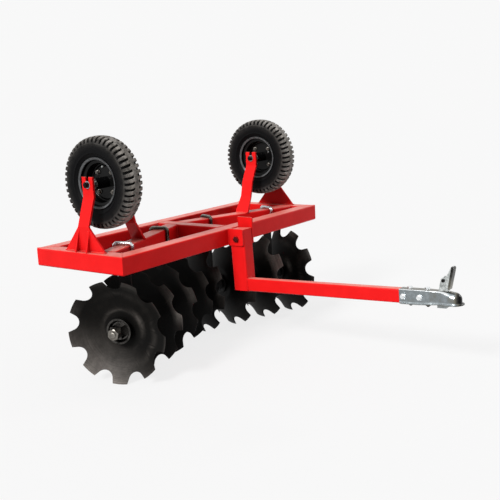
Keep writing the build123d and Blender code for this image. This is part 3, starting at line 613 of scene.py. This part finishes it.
# Discs: dished and notched, sharpened on the back of the rim
def disc(place, shape):
    """One disc: its front from the hole to the rim, the rim, and its back."""
    teeth, per_tooth, notch, hole = 9, 30, 0.041, 0.0148
    count = teeth * per_tooth
    pitch = 2 * math.pi / teeth
    edge = []
    for k in range(count):
        off = (2 * math.pi * k / count + math.pi / 2) % pitch - pitch / 2
        reach = disc_r
        if abs(off) < math.asin(notch / disc_r):
            root = max(0.0, notch**2 - (disc_r * math.sin(off)) ** 2)
            reach = disc_r * math.cos(off) - math.sqrt(root)
        edge.append(reach)
    shares = [0.0, 0.10, 0.22, 0.30, 0.335, 0.36, 0.385, 0.42, 0.5, 0.6, 0.7, 0.8, 0.88, 0.94, 0.985, 1.0]
    rows = [(f, "front") for f in shares] + [(1.0, "rim")] + [(f, "back") for f in reversed(shares[:-1])]
    points = []
    for f, face in rows:
        for k, reach in enumerate(edge):
            r = hole + (reach - hole) * f
            z = 0.0 if r < disc_flat else dish_flat - math.sqrt(disc_curve**2 - r * r)
            if face == "front":
                stamped = 1 - smooth((r - disc_flat + 0.006) / 0.010)
                z += disc_t - 0.0008 * stamped
            elif face == "rim":
                z += 0.0024
            else:
                ground = min(1.0, max(0.0, (r - reach + 0.010) / 0.010))
                z += 0.0022 * ground
            points.append(polar(r, 2 * math.pi * k / count, z))
    shape.add(points, grid_faces(len(rows), count, True, True), place)


# Painted highlight arcs on the outer disc: radius as a share of the disc's, half its width, angle in
# degrees, half its reach, strength
painted_highlight_arcs = [
    (0.43, 0.050, 24, 28, 0.36),
    (0.385, 0.022, 118, 62, 0.20),
    (0.70, 0.024, -22, 36, 0.22),
    (0.74, 0.030, 84, 34, 0.09),
    (0.95, 0.055, 74, 26, 0.22),
    (0.93, 0.060, 154, 14, 0.18),
]


def soil_and_painted_light(side):
    """Dried earth and painted light on each disc: earth with a painted sheen, most on its lowest part as it
    stands; painted highlights on its teeth and in arcs; on the inner discs a painted patch of light that
    fades inwards.
    """
    inverse = gang_place(side).inverted()

    def rule(co, normal):
        p = inverse @ co
        r = math.hypot(p.x, p.y) / disc_r
        low = (-0.86 * p.y - 0.50 * p.x) / disc_r
        # Dried earth with a painted sheen, most on the lowest part as the disc stands.
        value = 0.84 * max(0.0, low) ** 2.1 * min(1.0, r / 0.35)
        # A painted highlight ring round the flat middle, and painted highlights on the teeth's edges.
        value += 0.035 * math.exp(-(((r - 0.43) / 0.02) ** 2)) + 0.16 * max(0.0, r - 0.965) / 0.035
        turn = math.degrees(math.atan2(p.y, p.x))
        if p.z < hubs[0] - 0.05:
            inward = (hubs[0] - p.z) / (hubs[0] - hubs[1]) - 1
            # Inner discs: a painted patch of light near the forward edge, fading inwards as painted shade.
            front = math.exp(-(((turn - 22) / 26) ** 2)) * min(1.0, max(0.0, (r - 0.72) / 0.16))
            value = (0.45 * value + 0.90 * front) * 0.50 ** inward
        else:
            for at_r, half_r, at_turn, half_turn, strength in painted_highlight_arcs:
                away = (turn - at_turn + 180) % 360 - 180
                value += strength * math.exp(-(((r - at_r) / half_r) ** 2) - (away / half_turn) ** 2)
        return value

    return rule


def polar_map(obj, place):
    """Gives each corner its radius and angle about the gang's axis."""
    layer = obj.data.uv_layers.new(name="polar")
    inverse = place.inverted()
    for loop in obj.data.loops:
        p = inverse @ obj.data.vertices[loop.vertex_index].co
        layer.data[loop.index].uv = (math.hypot(p.x, p.y), abs(math.atan2(p.y, p.x)) / math.pi)


for side in sides:
    shape = Shape()
    for h, turn in zip(hubs, disc_turns[side]):
        disc(gang_place(side) @ at(0, 0, h) @ spun(math.radians(90 * turn), "Z"), shape)
    made = make(f"discs_{side}", shape, disc_steel, f"gang_{side}")
    polar_map(made, gang_place(side))
    mark(made, "soil_and_painted_light", soil_and_painted_light(side))
    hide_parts(f"gang_discs_{side}")


# Tyres: two rows of hooked lugs beside a broad middle rib
inner_foot, wheel_inset, wheel_height = 0.399, 0.160, 0.277
wheel_x = x_apex + inner_foot * math.tan(lean)
wheel_y = half_span - wheel_inset
wheel_z = frame_top + wheel_height
hub_end = 0.056
lugs = 48
tread_depth = 0.0092


def tyre_profile():
    """Stations from one bead over the tread to the other: radius, offset, depth, shift, width, dust."""
    tread = [
        (0.2000, 0.0000, 0.00, 0.16, 0.9, 0.80),
        (0.1999, 0.0060, 0.00, 0.16, 0.9, 0.80),
        (0.1997, 0.0103, 0.00, 0.20, 0.9, 0.85),
        (0.1996, 0.0116, 0.92, 0.21, 0.9, 0.90),
        (0.1993, 0.0165, 1.00, 0.14, 0.95, 0.95),
        (0.1985, 0.0230, 1.00, 0.07, 1.0, 1.00),
        (0.1970, 0.0300, 1.00, 0.03, 1.0, 0.85),
        (0.1945, 0.0370, 1.00, 0.00, 1.0, 0.60),
        (0.1905, 0.0425, 1.00, -0.02, 1.05, 0.42),
        (0.1870, 0.0452, 0.85, -0.03, 1.10, 0.32),
        (0.1820, 0.0470, 0.60, -0.03, 1.15, 0.25),
        (0.1765, 0.0482, 0.25, -0.03, 1.20, 0.16),
    ]
    wall = [  # plain rubber, from the tread's shoulder down to the bead: radius, offset, dust
        (0.1725, 0.0487, 0.12), (0.1700, 0.0494, 0.10), (0.1672, 0.0494, 0.07), (0.1655, 0.0484, 0.045),
        (0.1600, 0.0489, 0.025), (0.1500, 0.0489, 0.008), (0.1400, 0.0480, 0.0), (0.1330, 0.0466, 0.0),
        (0.1310, 0.0474, 0.0), (0.1285, 0.0470, 0.0), (0.1270, 0.0450, 0.0), (0.1210, 0.0418, 0.0),
        (0.1160, 0.0382, 0.0), (0.1130, 0.0362, 0.0), (0.1120, 0.0355, 0.0), (0.1020, 0.0350, 0.0),
        (0.1016, 0.0280, 0.0),
    ]
    half = tread + [(r, z, 0.0, -0.03, 1.20, dust) for r, z, dust in wall]
    left = [(r, -z, d, 0.5 - s, w, m) for r, z, d, s, w, m in reversed(half[1:])]
    return left + half


def tyre(place, shape):
    """Adds a tyre, and returns the dust on each of its points."""
    stations = tyre_profile()
    offsets = [(-0.255, 0.0), (-0.230, 0.06), (-0.175, 1.0), (0.0, 1.0), (0.175, 1.0), (0.230, 0.06),
               (0.255, 0.0), (0.38, 0.0), (0.5, 0.0), (0.62, 0.0)]
    points, dust = [], []
    for r, z, depth, shift, width, amount in stations:
        away = Vector((r - 0.150, z)).normalized()
        for lug in range(lugs):
            for off, sunk in offsets:
                spread = off * width if abs(off) <= 0.26 else off
                down = tread_depth * depth * sunk
                t = 2 * math.pi * (lug + spread + shift) / lugs
                points.append(polar(r - away.x * down, t, z - away.y * down))
                dust.append(0.0 if sunk > 0.5 and depth > 0.2 else amount)
    shape.add(points, grid_faces(len(stations), lugs * len(offsets), False, True), place)
    return dust


def wheel_place(side):
    """Local x forward, y up, z to the right: both wheels are mounted the same way round."""
    return basis((wheel_x, sides[side] * wheel_y, wheel_z), (1, 0, 0), (0, 0, 1), (0, -1, 0))


for side in sides:
    shape = Shape()
    dust = tyre(wheel_place(side), shape)
    made = make(f"tyre_{side}", shape, tyre_rubber, f"wheel_{side}", 34, 1e-9)
    layer = made.data.attributes.new("dust", "FLOAT", "POINT")
    for item, amount in zip(layer.data, dust):
        item.value = amount
    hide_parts(f"wheel_tyre_{side}")


# Rims: rolled lips, drop centre and a pressed web
def rim(place, shape):
    """Turned section of the outer lip, the web's two faces, the other lip, and back under the tyre."""
    lip = arc(0.1095, 0.0375, 0.0024, -60, 150) + [(0.1035, 0.0372), (0.1000, 0.0355)]
    web = [
        (0.0992, 0.0240), (0.0975, 0.0215), (0.0860, 0.0185), (0.0838, 0.0150), (0.0835, -0.0120),
        (0.0828, -0.0150), (0.0800, -0.0172), (0.0770, -0.0176), (0.0740, -0.0160), (0.0710, -0.0148),
        (0.0680, -0.0154), (0.0650, -0.0169), (0.0500, -0.0170), (0.0400, -0.0170), (0.0300, -0.0170),
        (0.0243, -0.0170), (0.0243, -0.0202), (0.0640, -0.0202), (0.0780, -0.0206), (0.0835, -0.0190),
        (0.0850, -0.0205), (0.0975, -0.0225), (0.0992, -0.0240),
    ]
    bed = [(0.0990, 0.0185), (0.1013, 0.0210), (0.1014, 0.0345), (0.1060, 0.0352)]
    well = [(0.0868, -0.0150), (0.0862, 0.0150)]
    shape.add(*lathe(lip + web + mirrored(lip) + mirrored(bed) + well + bed, 96, True), place)


for side in sides:
    base = wheel_place(side)
    shape = Shape()
    rim(base, shape)
    made = make(f"rim_{side}", shape, rim_black, f"wheel_{side}", 40)
    inverse = base.inverted()

    def rim_shine(co, normal):
        """Worn on the lips only, most on their inner half."""
        p = inverse @ co
        r = math.hypot(p.x, p.y)
        if r < 0.1020 or abs(p.z) < 0.0340:
            return 0.0
        return 0.20 if r < 0.1096 else 0.04

    mark(made, "shine", rim_shine)
    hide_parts(f"wheel_rim_{side}")
    bolts = Shape()
    bolt_circle, web_front, web_back = 0.060, -0.0168, -0.0268
    for k in range(4):
        t = math.radians(45 + 90 * k)
        spot = base @ at(*polar(bolt_circle, t, web_front))
        bolts.add(*ring(0.0052, 0.0115, 0.0, 0.0016), spot)
        bolts.add(*nut(rim_across, 0.0085, 0.0048), spot @ at(0, 0, 0.0017))
        bolts.add(*thread(rim_r, 0.0, 0.0135, rim_pitch), spot)
        back = base @ at(*polar(bolt_circle, t, web_back)) @ spun(math.pi, "X")
        bolts.add(*nut(rim_across, 0.0068, 0.0), back)
    make(f"rim_bolts_{side}", bolts, bare, f"wheel_{side}")
    valve_turn = math.radians(58 if side == "right" else 20)
    spot = base @ spun(valve_turn, "Z") @ at(0.0905, 0.0, 0.0175) @ spun(math.radians(-12), "Y")
    valve, cap, seal = Shape(), Shape(), Shape()
    valve.add(*lathe([(0.0, 0.0), (0.0055, 0.0), (0.0052, 0.004), (0.0036, 0.008), (0.0030, 0.017),
                      (0.0037, 0.0175), (0.0037, 0.025), (0.0030, 0.026), (0.0, 0.026)], 24), spot)
    make(f"valve_{side}", valve, tyre_rubber, f"wheel_{side}", 40)
    cap.add(*lathe([(0.0, 0.0265), (0.0034, 0.0265), (0.0042, 0.0255), (0.0042, 0.0180), (0.0038, 0.0176),
                    (0.0038, 0.0262), (0.0, 0.0262)], 24), spot)
    make(f"valve_cap_{side}", cap, pale, f"wheel_{side}", 40)
    for turn in (0, math.pi):
        seal.add(*lathe([(0.0122, -0.0020), (0.0128, 0.0004), (0.0165, 0.0006), (0.0175, 0.0001),
                         (0.0200, 0.0001), (0.0210, 0.0009), (0.0236, 0.0007), (0.0240, -0.0004)], 48),
                 base @ spun(turn, "X") @ at(0, 0, hub_end + 0.0001))
    make(f"hub_seals_{side}", seal, bare, f"wheel_{side}", 40)


# Wheel rods: threaded ends, chamfered nuts, washers
arm_face, arm_back = 0.081, 0.091
thread_start = arm_back - 0.004
for side in sides:
    base = wheel_place(side)
    rod = Shape()
    for turn in (0, math.pi):
        out = base @ spun(turn, "X")
        rod.add(*lathe([(0.0, 0.0), (rod_r, 0.0), (rod_r, thread_start), (0.0, thread_start)], 32), out)
        rod.add(*ring(0.0081, 0.0120, hub_end + 0.0011, arm_face - fit), out)
        rod.add(*ring(0.0083, 0.0160, arm_back + 0.0002, arm_back + 0.0025), out)
        rod.add(*nut(rod_across, 0.0110, 0.0072), out @ at(0, 0, arm_back + 0.0025))
        rod.add(*thread(rod_r, thread_start, arm_back + 0.0182, rod_pitch), out)
    made = make(f"rod_{side}", rod, plated, "frame")
    mid = sides[side] * wheel_y
    mark(made, "tone", lambda co, n: 0.05 if abs(co.y - mid) > arm_back + 0.0026 else 0.8)
    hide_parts(f"wheel_rod_{side}")


# Gang ends: big nuts and threaded bolt ends on the square axle
cup_height, end_block, end_washer = 0.031, 0.027, 0.012
axle_half, stud_nut, stud_bore, stud_long = 0.0140, 0.027, 0.0118, 0.0315
axle_out = hubs[0] + disc_t + fit + cup_height + end_block + fit
axle_in = hubs[3] - end_washer - 2 * fit
for side in sides:
    base = gang_place(side)
    shape = Shape()
    square = [(x * axle_half, y * axle_half) for x, y in ((-1, -1), (1, -1), (1, 1), (-1, 1))]
    corners = [(x, y, z) for z in (axle_in, axle_out) for x, y in square]
    shape.add(corners, grid_faces(2, 4, False, True) + [(0, 1, 2, 3), (4, 5, 6, 7)], base)
    shape.add(*nut(stud_across, stud_nut, stud_bore, 60), base @ at(0, 0, axle_out) @ spun(0.3, "Z"))
    shape.add(*thread(stud_r, axle_out, axle_out + stud_long, stud_pitch, 32), base)
    back = base @ at(0, 0, axle_in) @ spun(math.pi, "X")
    shape.add(*nut(stud_across, stud_nut, stud_bore, 60), back)
    shape.add(*thread(stud_r, 0.0, stud_long, stud_pitch, 32), back)
    made = make(f"axle_{side}", shape, bare, f"gang_{side}", 30, 1e-7)
    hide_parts(f"gang_axle_{side}")


# U-bolts over the gang beams, with threads, nuts and washers under the hanger plates
def u_bolt(place, shape):
    """One U-bolt over a beam, with its washers and nuts below the hanger plate."""
    out, bend = 0.0433, 0.0153
    top = frame_top - axle_z + fit + rod_r
    plate = frame_bottom - axle_z - 0.010
    foot, shoulder = plate - 0.004, top - bend
    half = [(-out, foot + (shoulder - foot) * i / 12) for i in range(12)]
    half += arc(bend - out, shoulder, bend, 180, 90)
    across = [(bend - out + 2 * (out - bend) * i / 8, top) for i in range(1, 8)]
    path = half + across + [(-x, y) for x, y in reversed(half)]
    shape.add(*path_tube([(x, y, 0) for x, y in path], [rod_r] * len(path), 20), place)
    for x in (-out, out):
        down = place @ at(x, plate, 0) @ spun(math.pi / 2, "X")
        shape.add(*ring(0.0084, 0.0150, fit, 0.0028), down)
        shape.add(*nut(rod_across, 0.0112, 0.0073), down @ at(0, 0, 0.0029))
        shape.add(*thread(rod_r, 0.0, 0.0275, rod_pitch), down)


for side in sides:
    shape = Shape()
    for b in bearings:
        u_bolt(gang_place(side) @ at(0, 0, b), shape)
    made = make(f"u_bolts_{side}", shape, plated, "frame")
    inverse = gang_place(side).inverted()
    halfway = (bearings[0] + bearings[1]) / 2

    def u_bolt_painted_light(co, normal):
        """Painted light below the frame, bright outer bolts, darker inner ones with a painted highlight
        where they face up.
        """
        if co.z < frame_bottom:
            return 0.76
        return 0.86 if (inverse @ co).z > halfway else 0.24 + 0.30 * max(0.0, normal.z) ** 3

    mark(made, "tone", u_bolt_painted_light)
    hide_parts(f"gang_u_bolts_{side}")


# Bolts through the hanger feet and bearing housings, and a grease nipple on each housing
foot_top = 0.0461 + 0.007
for side in sides:
    bolts, nipples = Shape(), Shape()
    for b in bearings:
        spot = gang_place(side) @ at(0, 0, b)
        for x in (-0.050, 0.050):
            up = spot @ at(x, foot_top + 0.010, 0) @ spun(-math.pi / 2, "X")
            bolts.add(*ring(0.0065, 0.0120, 0.0, 0.0022), up)
            bolts.add(*nut(bolt_across, 0.0080, 0.0), up @ at(0, 0, 0.0022))
            low = spot @ at(x, foot_top - 0.014, 0) @ spun(math.pi / 2, "X")
            bolts.add(*nut(bolt_across, 0.0100, 0.0058), low)
            bolts.add(*thread(bolt_r, 0.0, 0.0150, bolt_pitch), low)
        low = spot @ at(0.0, -0.0455, 0) @ spun(math.pi / 2, "X")
        nipples.add(*nut(0.0100, 0.0040, 0.0), low)
        nipples.add(*lathe([(0.0032, 0.0035), (0.0032, 0.0070), (0.0022, 0.0085), (0.0030, 0.0105),
                            (0.0018, 0.0125), (0.0, 0.0125)], 20), low)
    make(f"housing_bolts_{side}", bolts, zinc, "frame")
    make(f"grease_nipples_{side}", nipples, bare, "frame")


# Coupler: pressed sheet body with a turned-out flange and a round nose over the ball
draw_tilt = math.radians(2.45)
pin_forward, pin_down = 0.046, 0.048
leg_gap, draw_reach, draw_drop, beam_half, beam_y = 0.0025, 0.856, 0.297, 0.030, -0.015
pin = Vector((x_front + pin_forward, 0, frame_top - pin_down))
beam_end = (x_front + leg_gap + draw_reach, beam_y, frame_top - draw_drop + beam_half)
on_bar = at(*pin) @ spun(-draw_tilt, "Y") @ at(*-pin) @ at(*beam_end)
half_high = 0.031
ball_x, ball_z, nose_r, lip_r, inner_r = 0.232, -0.003, 0.0295, 0.038, 0.0279
body_rows = [  # place along the body, half width, top, corner radius
    (0.0003, 0.0210, 0.0306, 0.0040),
    (0.0012, 0.0210, 0.0310, 0.0040),
    (0.0350, 0.0210, 0.0310, 0.0042),
    (0.0700, 0.0210, 0.0310, 0.0042),
    (0.1000, 0.0210, 0.0310, 0.0045),
    (0.1280, 0.0210, 0.0310, 0.0052),
    (0.1420, 0.0199, 0.0310, 0.0062),
    (0.1560, 0.0187, 0.0310, 0.0072),
    (0.1700, 0.0186, 0.0310, 0.0084),
    (0.1820, 0.0202, 0.0309, 0.0105),
    (0.1940, 0.0232, 0.0305, 0.0140),
    (0.2060, 0.0264, 0.0297, 0.0190),
    (0.2160, 0.0284, 0.0286, 0.0235),
    (0.2240, 0.0292, 0.0276, 0.0270),
    (0.2320, 0.0295, 0.0265, 0.0294),
]


def low_line(x):
    """Height of the flange's underside: it climbs a little towards the nose."""
    return -half_high + 0.0072 * smooth((x - 0.060) / 0.160)


def coupler_cover(place, shape):
    """The pressed cover, from the drawbar to the nose, with its rolled back edge."""
    rows = list(body_rows)
    for k in range(1, 12):
        turn = math.radians(90 * k / 12)
        w = nose_r * math.cos(turn)
        rows.append((ball_x + nose_r * math.sin(turn), w, w + ball_z, w * 0.998))
    corner = 9
    points = []
    for x, w, top, r in rows:
        low_z = low_line(x)
        fold = low_z + 0.0110
        side_top = max(top - r, low_z + 0.0112)
        outer = [(w + 0.0056, low_z + 0.0038), (w + 0.0022, low_z + 0.0056), (w, fold)]
        outer += [(w, fold + (side_top - fold) * i / 4) for i in range(1, 4)]
        outer += arc(w - r, top - r, r, 0, 90, corner - 1)
        points.extend((x, -y, z) for y, z in outer)
        points.extend((x, y, z) for y, z in reversed(outer))
    columns = 2 * (6 + corner)
    shape.add(points, grid_faces(len(rows), columns), place)
    shape.add(points[-columns:], [tuple(range(columns))], place)
    back = points[:columns]
    inside = [(x, y * 0.86, min(z, 0.0268)) for x, y, z in back]
    shape.add(back + inside, grid_faces(2, columns), place)


def spread(line, count):
    """Spreads a number of points evenly along a line."""
    lengths = [0.0]
    for p, q in zip(line, line[1:]):
        lengths.append(lengths[-1] + math.dist(p, q))
    out, k = [], 0
    for i in range(count):
        want = lengths[-1] * i / (count - 1)
        while k < len(line) - 2 and lengths[k + 1] < want:
            k += 1
        f = (want - lengths[k]) / (lengths[k + 1] - lengths[k])
        out.append(tuple(a + f * (b - a) for a, b in zip(line[k], line[k + 1])))
    return out


def coupler_flange(place, shape):
    """The turned-out flange round the open underside."""
    edge = [(0.004, 0.0250), (0.010, 0.0270), (0.060, 0.0272)]
    edge += [(x, w + 0.0062 + 0.0023 * max(0.0, (x - 0.142) / 0.090)) for x, w, _, _ in body_rows[3:-1]]
    inner = [(x, w - 0.0016) for x, w, _, _ in body_rows]
    for k in range(19):
        t = math.radians(90 * k / 18)
        edge.append((ball_x + lip_r * math.sin(t), lip_r * math.cos(t)))
        if k:
            inner.append((ball_x + inner_r * math.sin(t), inner_r * math.cos(t)))
    count, thick, e = 60, 0.0040, 0.0008
    for side in (-1, 1):
        points = []
        for (ax, ay), (bx, by) in zip(spread(edge, count), spread(inner, count)):
            wide = math.hypot(ax - bx, ay - by) or 1.0
            ex, ey = ax - e * (ax - bx) / wide, ay - e * (ay - by) / wide
            section = [
                (bx, by, 0.0), (ex, ey, 0.0), (ax, ay, e),
                (ax, ay, thick - e), (ex, ey, thick), (bx, by, thick),
            ]
            points.extend((x, side * y, z + low_line(x)) for x, y, z in section)
        shape.add(points, grid_faces(count, 6, False, True), place)


shape = Shape()
coupler_cover(on_bar, shape)
coupler_flange(on_bar, shape)
made = make("coupler_shell", shape, plated, "frame", 34)
to_bar = on_bar.inverted()
turn_back = to_bar.to_3x3()


def coupler_painted_light(co, normal):
    """Painted light on the cover: olive on top and blue-grey at the sides by how each face turns, painted
    highlights on the flange and the top crease, a painted highlight and a painted dark reflection on the
    nose, painted shade under the flange and just above it, and a painted dark and a painted bright band
    along the sides.
    """
    p, n = to_bar @ co, turn_back @ normal
    above = p.z - low_line(p.x)
    if above < 0.0009:
        return 0.26
    if above < 0.0070:
        return 0.80 - 0.7 * min(1.0, max(0.0, p.x - 0.243) / 0.020)
    # Nose: a painted highlight, and a painted dark reflection where it faces forward.
    if p.x > 0.208:
        near = math.exp(-((abs(n.y) - 0.72) ** 2 + (n.z - 0.62) ** 2 + (n.x - 0.05) ** 2) / 0.10)
        return 0.50 + 0.48 * near - 0.62 * max(0.0, n.x) ** 1.3
    if n.z > 0.90:
        return 0.36
    if n.z > 0.30 and p.z > 0.010:
        return 0.97
    if above < 0.0125:
        return 0.55
    # Sides: a painted dark band and a painted bright band.
    dull = 0.10 * math.exp(-(((p.x - 0.150) / 0.020) ** 2))
    return 0.60 - dull + 0.14 * math.exp(-(((p.x - 0.118) / 0.010) ** 2))


mark(made, "tone", coupler_painted_light)
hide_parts("coupler_body")

washer = (0.0063, 0.0120, 0.0, 0.0020)
head_nut, far_nut, far_bore, far_thread = 0.0070, 0.0100, 0.0058, 0.0135
side_face = 0.0212
shape = Shape()
for x in (0.042, 0.118):
    top = on_bar @ at(x, 0, half_high + 0.0002)
    shape.add(*ring(*washer), top)
    shape.add(*nut(bolt_across, head_nut, 0.0), top @ at(0, 0, washer[3]) @ spun(0.4, "Z"))
    low = on_bar @ at(x, 0, -0.0270) @ spun(math.pi, "X")
    shape.add(*nut(bolt_across, far_nut, far_bore), low @ spun(0.2, "Z"))
    shape.add(*thread(bolt_r, 0.0, far_thread, bolt_pitch), low)
for x in (0.018, 0.090):
    near = on_bar @ at(x, -side_face, 0) @ spun(math.pi / 2, "X")
    shape.add(*ring(*washer), near)
    shape.add(*nut(bolt_across, head_nut, 0.0), near @ at(0, 0, washer[3]) @ spun(0.3, "Z"))
    far = on_bar @ at(x, side_face, 0) @ spun(-math.pi / 2, "X")
    shape.add(*nut(bolt_across, far_nut, far_bore), far)
    shape.add(*thread(bolt_r, 0.0, far_thread, bolt_pitch), far)
made = make("coupler_fixings", shape, plated, "frame")


def fixing_painted_light(co, normal):
    """Painted light: heads and side nuts painted bright as highlights, the nuts underneath darker as painted
    shade.
    """
    return 0.22 if (to_bar @ co).z < -0.020 else 0.95


mark(made, "tone", fixing_painted_light)
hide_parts("coupler_bolts")


# Lever: pressed cheeks joined by the handle's front web
def prism(outline, low, high, shape):
    """A flat plate between two places across the coupler, from an outline of (along, up) in mm."""
    n = len(outline)
    points = [(x / 1000, y, z / 1000) for y in (low, high) for x, z in outline]
    shape.add(points, [tuple(range(n)), tuple(range(n, 2 * n))], on_bar)
    shape.add(points, grid_faces(2, n, False, True), on_bar)


spine = [(214, 38), (217, 38), (220.7, 53), (224.3, 68), (228, 83), (231.6, 98), (235.2, 113), (237.6, 125),
         (234.6, 131)]
handle = spine + [(228.6, 131), (226.6, 119), (223.4, 104), (220.1, 88), (216.8, 73), (213.6, 59),
                  (209.9, 42.5)]
cheek = [(209.9, 42.5), (228.6, 131), (226, 128), (213, 104), (206, 92), (200, 96), (196, 88), (189, 86),
         (184.6, 80.5), (183, 75), (184.6, 70.2), (189, 65), (197, 56), (202, 50)]
web = spine + [(226, 131), (226.0, 119), (229, 112), (228, 98), (224.6, 83), (221, 68), (217.4, 53)]
grip, plates = Shape(), Shape()
cheek_in, cheek_sheet = 0.0121, 0.0030
for s in (-1, 1):
    for outline, part in ((handle, grip), (cheek, plates)):
        prism(outline, s * cheek_in, s * (cheek_in + cheek_sheet), part)
prism(web, -cheek_in, cheek_in, grip)
made = make("lever_grip", grip, plated, "lever", 30, 1e-7, 0.0006)
# The grip's tone darkens towards its top: painted shade.
mark(made, "tone", lambda co, n: 0.42 - 0.34 * min(1.0, max(0.0, ((to_bar @ co).z - 0.045) / 0.055)))
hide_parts("coupler_lever")
make("lever_cheeks", plates, pale, "lever", 30, 0, 0.0004)


# Weld beads, painted over
welds = Shape()


def weld(size, *path):
    """Adds one bead to the frame's welds."""
    welds.add(*bead(path, size))


in_front, in_rear = x_front - tube, x_rear + tube
skin = 0.0012
low_skin, high_skin = frame_bottom + skin, frame_top - skin
low_end, high_end = frame_bottom + 0.006, frame_top - 0.006
for s in (-1, 1):
    wall = s * inner_span
    for outer, inner in ((x_front, in_front), (x_rear, in_rear)):
        weld(0.0022, (outer, s * (half_span - 0.002), frame_top - 0.0010), (inner, wall, frame_top - 0.0010))
        weld(0.0040, (inner, wall, frame_bottom), (inner, wall, high_end))
    for x in (in_front, in_rear):
        weld(0.0040, (x, s * tube / 2, frame_bottom + 0.004), (x, s * tube / 2, high_end))
for x in (in_front, in_rear):
    for z in (high_skin, low_skin):
        weld(0.0028, (x, -0.033, z), (x, 0.033, z))
for s in (-1, 1):
    for y in (tube / 2, inner_span):
        for off in (-tube / 2, tube / 2):
            x = x_apex + (y * sin_a + off) / cos_a
            weld(0.0042, (x, s * y, low_end), (x, s * y, high_end))
        a, b = (x_apex + (y * sin_a + off) / cos_a for off in (-0.031, 0.031))
        for z in (high_skin, low_skin):
            weld(0.0030, (a, s * y, z), (b, s * y, z))
foot_half, rib_high, arm_half = 0.118, 0.088, 0.038
for s in (-1, 1):
    foot_in, foot_out, rib_end = s * 0.715, s * 0.725, s * 0.746
    lo, hi = wheel_x - foot_half, wheel_x + foot_half
    weld(0.0042, (lo, foot_in, frame_top), (hi, foot_in, frame_top))
    ribs = [wheel_x + off for off in (-0.036, -0.028, 0.028, 0.036)]
    for a, b in ((lo, ribs[0]), (ribs[1], ribs[2]), (ribs[3], hi)):
        weld(0.0042, (a, foot_out, frame_top), (b, foot_out, frame_top))
    for x in ribs:
        weld(0.0030, (x, foot_out, frame_top + 0.002), (x, foot_out, frame_top + rib_high))
        weld(0.0030, (x, foot_out, frame_top), (x, rib_end, frame_top))
arm_offset, ankle_in, ankle_height, arm_sheet = 0.086, 0.061, 0.081, 0.010
slope = math.atan2(wheel_y - arm_offset - ankle_in - inner_foot, ankle_height)
for s in (-1, 1):
    for off in (-1, 1):
        y = s * (inner_foot + off * arm_sheet / 2 / math.cos(slope))
        weld(0.0040, (wheel_x - arm_half, y, frame_top), (wheel_x + arm_half, y, frame_top))
ear_faces = (-0.0433, -0.0353, 0.0353, 0.0433)
for y in ear_faces:
    weld(0.0034, (x_front, y, frame_bottom + 0.004), (x_front, y, frame_top - 0.004))
joint_x, half_w, half_h, corner = -0.7750, 0.0200, 0.0300, 0.006
side_w, side_h = half_w - corner, half_h - corner
loop = [(-half_w, -side_h), (-half_w, side_h), (-side_w, half_h), (side_w, half_h), (half_w, side_h),
        (half_w, -side_h), (side_w, -half_h), (-side_w, -half_h), (-half_w, -side_h)]
weld(0.0030, *(on_bar @ Vector((joint_x, y, z)) for y, z in loop))
make("welds_frame", welds, red, "frame", 60, 1e-7)


# Floor, backdrop and light
backdrop, floor_half = 0.94, 14
floor_mesh = bpy.data.meshes.new("floor")
corners = [(x * floor_half, y * floor_half, 0) for x, y in ((-1, -1), (1, -1), (1, 1), (-1, 1))]
floor_mesh.from_pydata(corners, [], [(0, 1, 2, 3)])
floor = bpy.data.objects.new("floor", floor_mesh)
scene.collection.objects.link(floor)
floor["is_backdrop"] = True


def shows_backdrop(n):
    """Is 1 for the rays that show the backdrop: camera, glossy and transmission rays."""
    rays = n.add("LightPath").outputs
    seen = n.math("MAXIMUM", rays["Is Camera Ray"], rays["Is Glossy Ray"])
    return n.math("MAXIMUM", seen, rays["Is Transmission Ray"])


def floor_material():
    """Pale floor of the backdrop's tone, which keeps a soft shadow under the object."""
    made, n, shader = material("floor")
    n.tree.nodes.remove(shader)
    shown = shows_backdrop(n)
    shade = n.add("BsdfDiffuse", Color=n.mix(shown, 0.40, 0.98))
    glow = n.add("Emission", Color=backdrop)
    far = n.add("VectorMath", operation="LENGTH", Vector=n.add("TexCoord").outputs["Object"])
    fade = n.map_range(far.outputs["Value"], 0.9, 2.4, 0.84, 1.0)
    surface = n.mix_shaders(n.math("MULTIPLY", fade, shown), shade, glow)
    n.set(n.tree.nodes["Material Output"], Surface=surface)
    return made


floor_mesh.materials.append(floor_material())


def studio():
    """World: the backdrop for the rays that show it, an even soft light for the rest."""
    world = bpy.data.worlds.new("studio")
    n = Nodes(world)
    n.tree.nodes.clear()
    way = n.add("SeparateXYZ", Vector=n.add("TexCoord").outputs["Generated"])
    lit = n.add("Background", Color=n.map_range(way.outputs["X"], 0.0, 0.8, 0.47, 0.24))
    seen = n.add("Background", Color=backdrop)
    n.add("OutputWorld", Surface=n.mix_shaders(shows_backdrop(n), lit, seen))
    return world


scene.world = studio()


def lamp(name, kind, place, target, strength, size):
    """Adds a sun or an area lamp that points from one place to another."""
    light = bpy.data.lights.new(name, kind)
    light.energy = strength
    if kind == "SUN":
        light.angle = size
    else:
        light.size = size
    obj = bpy.data.objects.new(name, light)
    scene.collection.objects.link(obj)
    obj.location = place
    obj.rotation_mode = "QUATERNION"
    obj.rotation_quaternion = (Vector(target) - Vector(place)).to_track_quat("-Z", "Y")


lamp("key", "SUN", (-0.34, -4.9, 3.7), (-0.3, 0, 0.5), 2.9, math.radians(14))
lamp("rim_light", "AREA", (2.6, 3.9, 2.1), (-0.4, 0, 0.6), 40, 0.5)

low, high_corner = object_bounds()
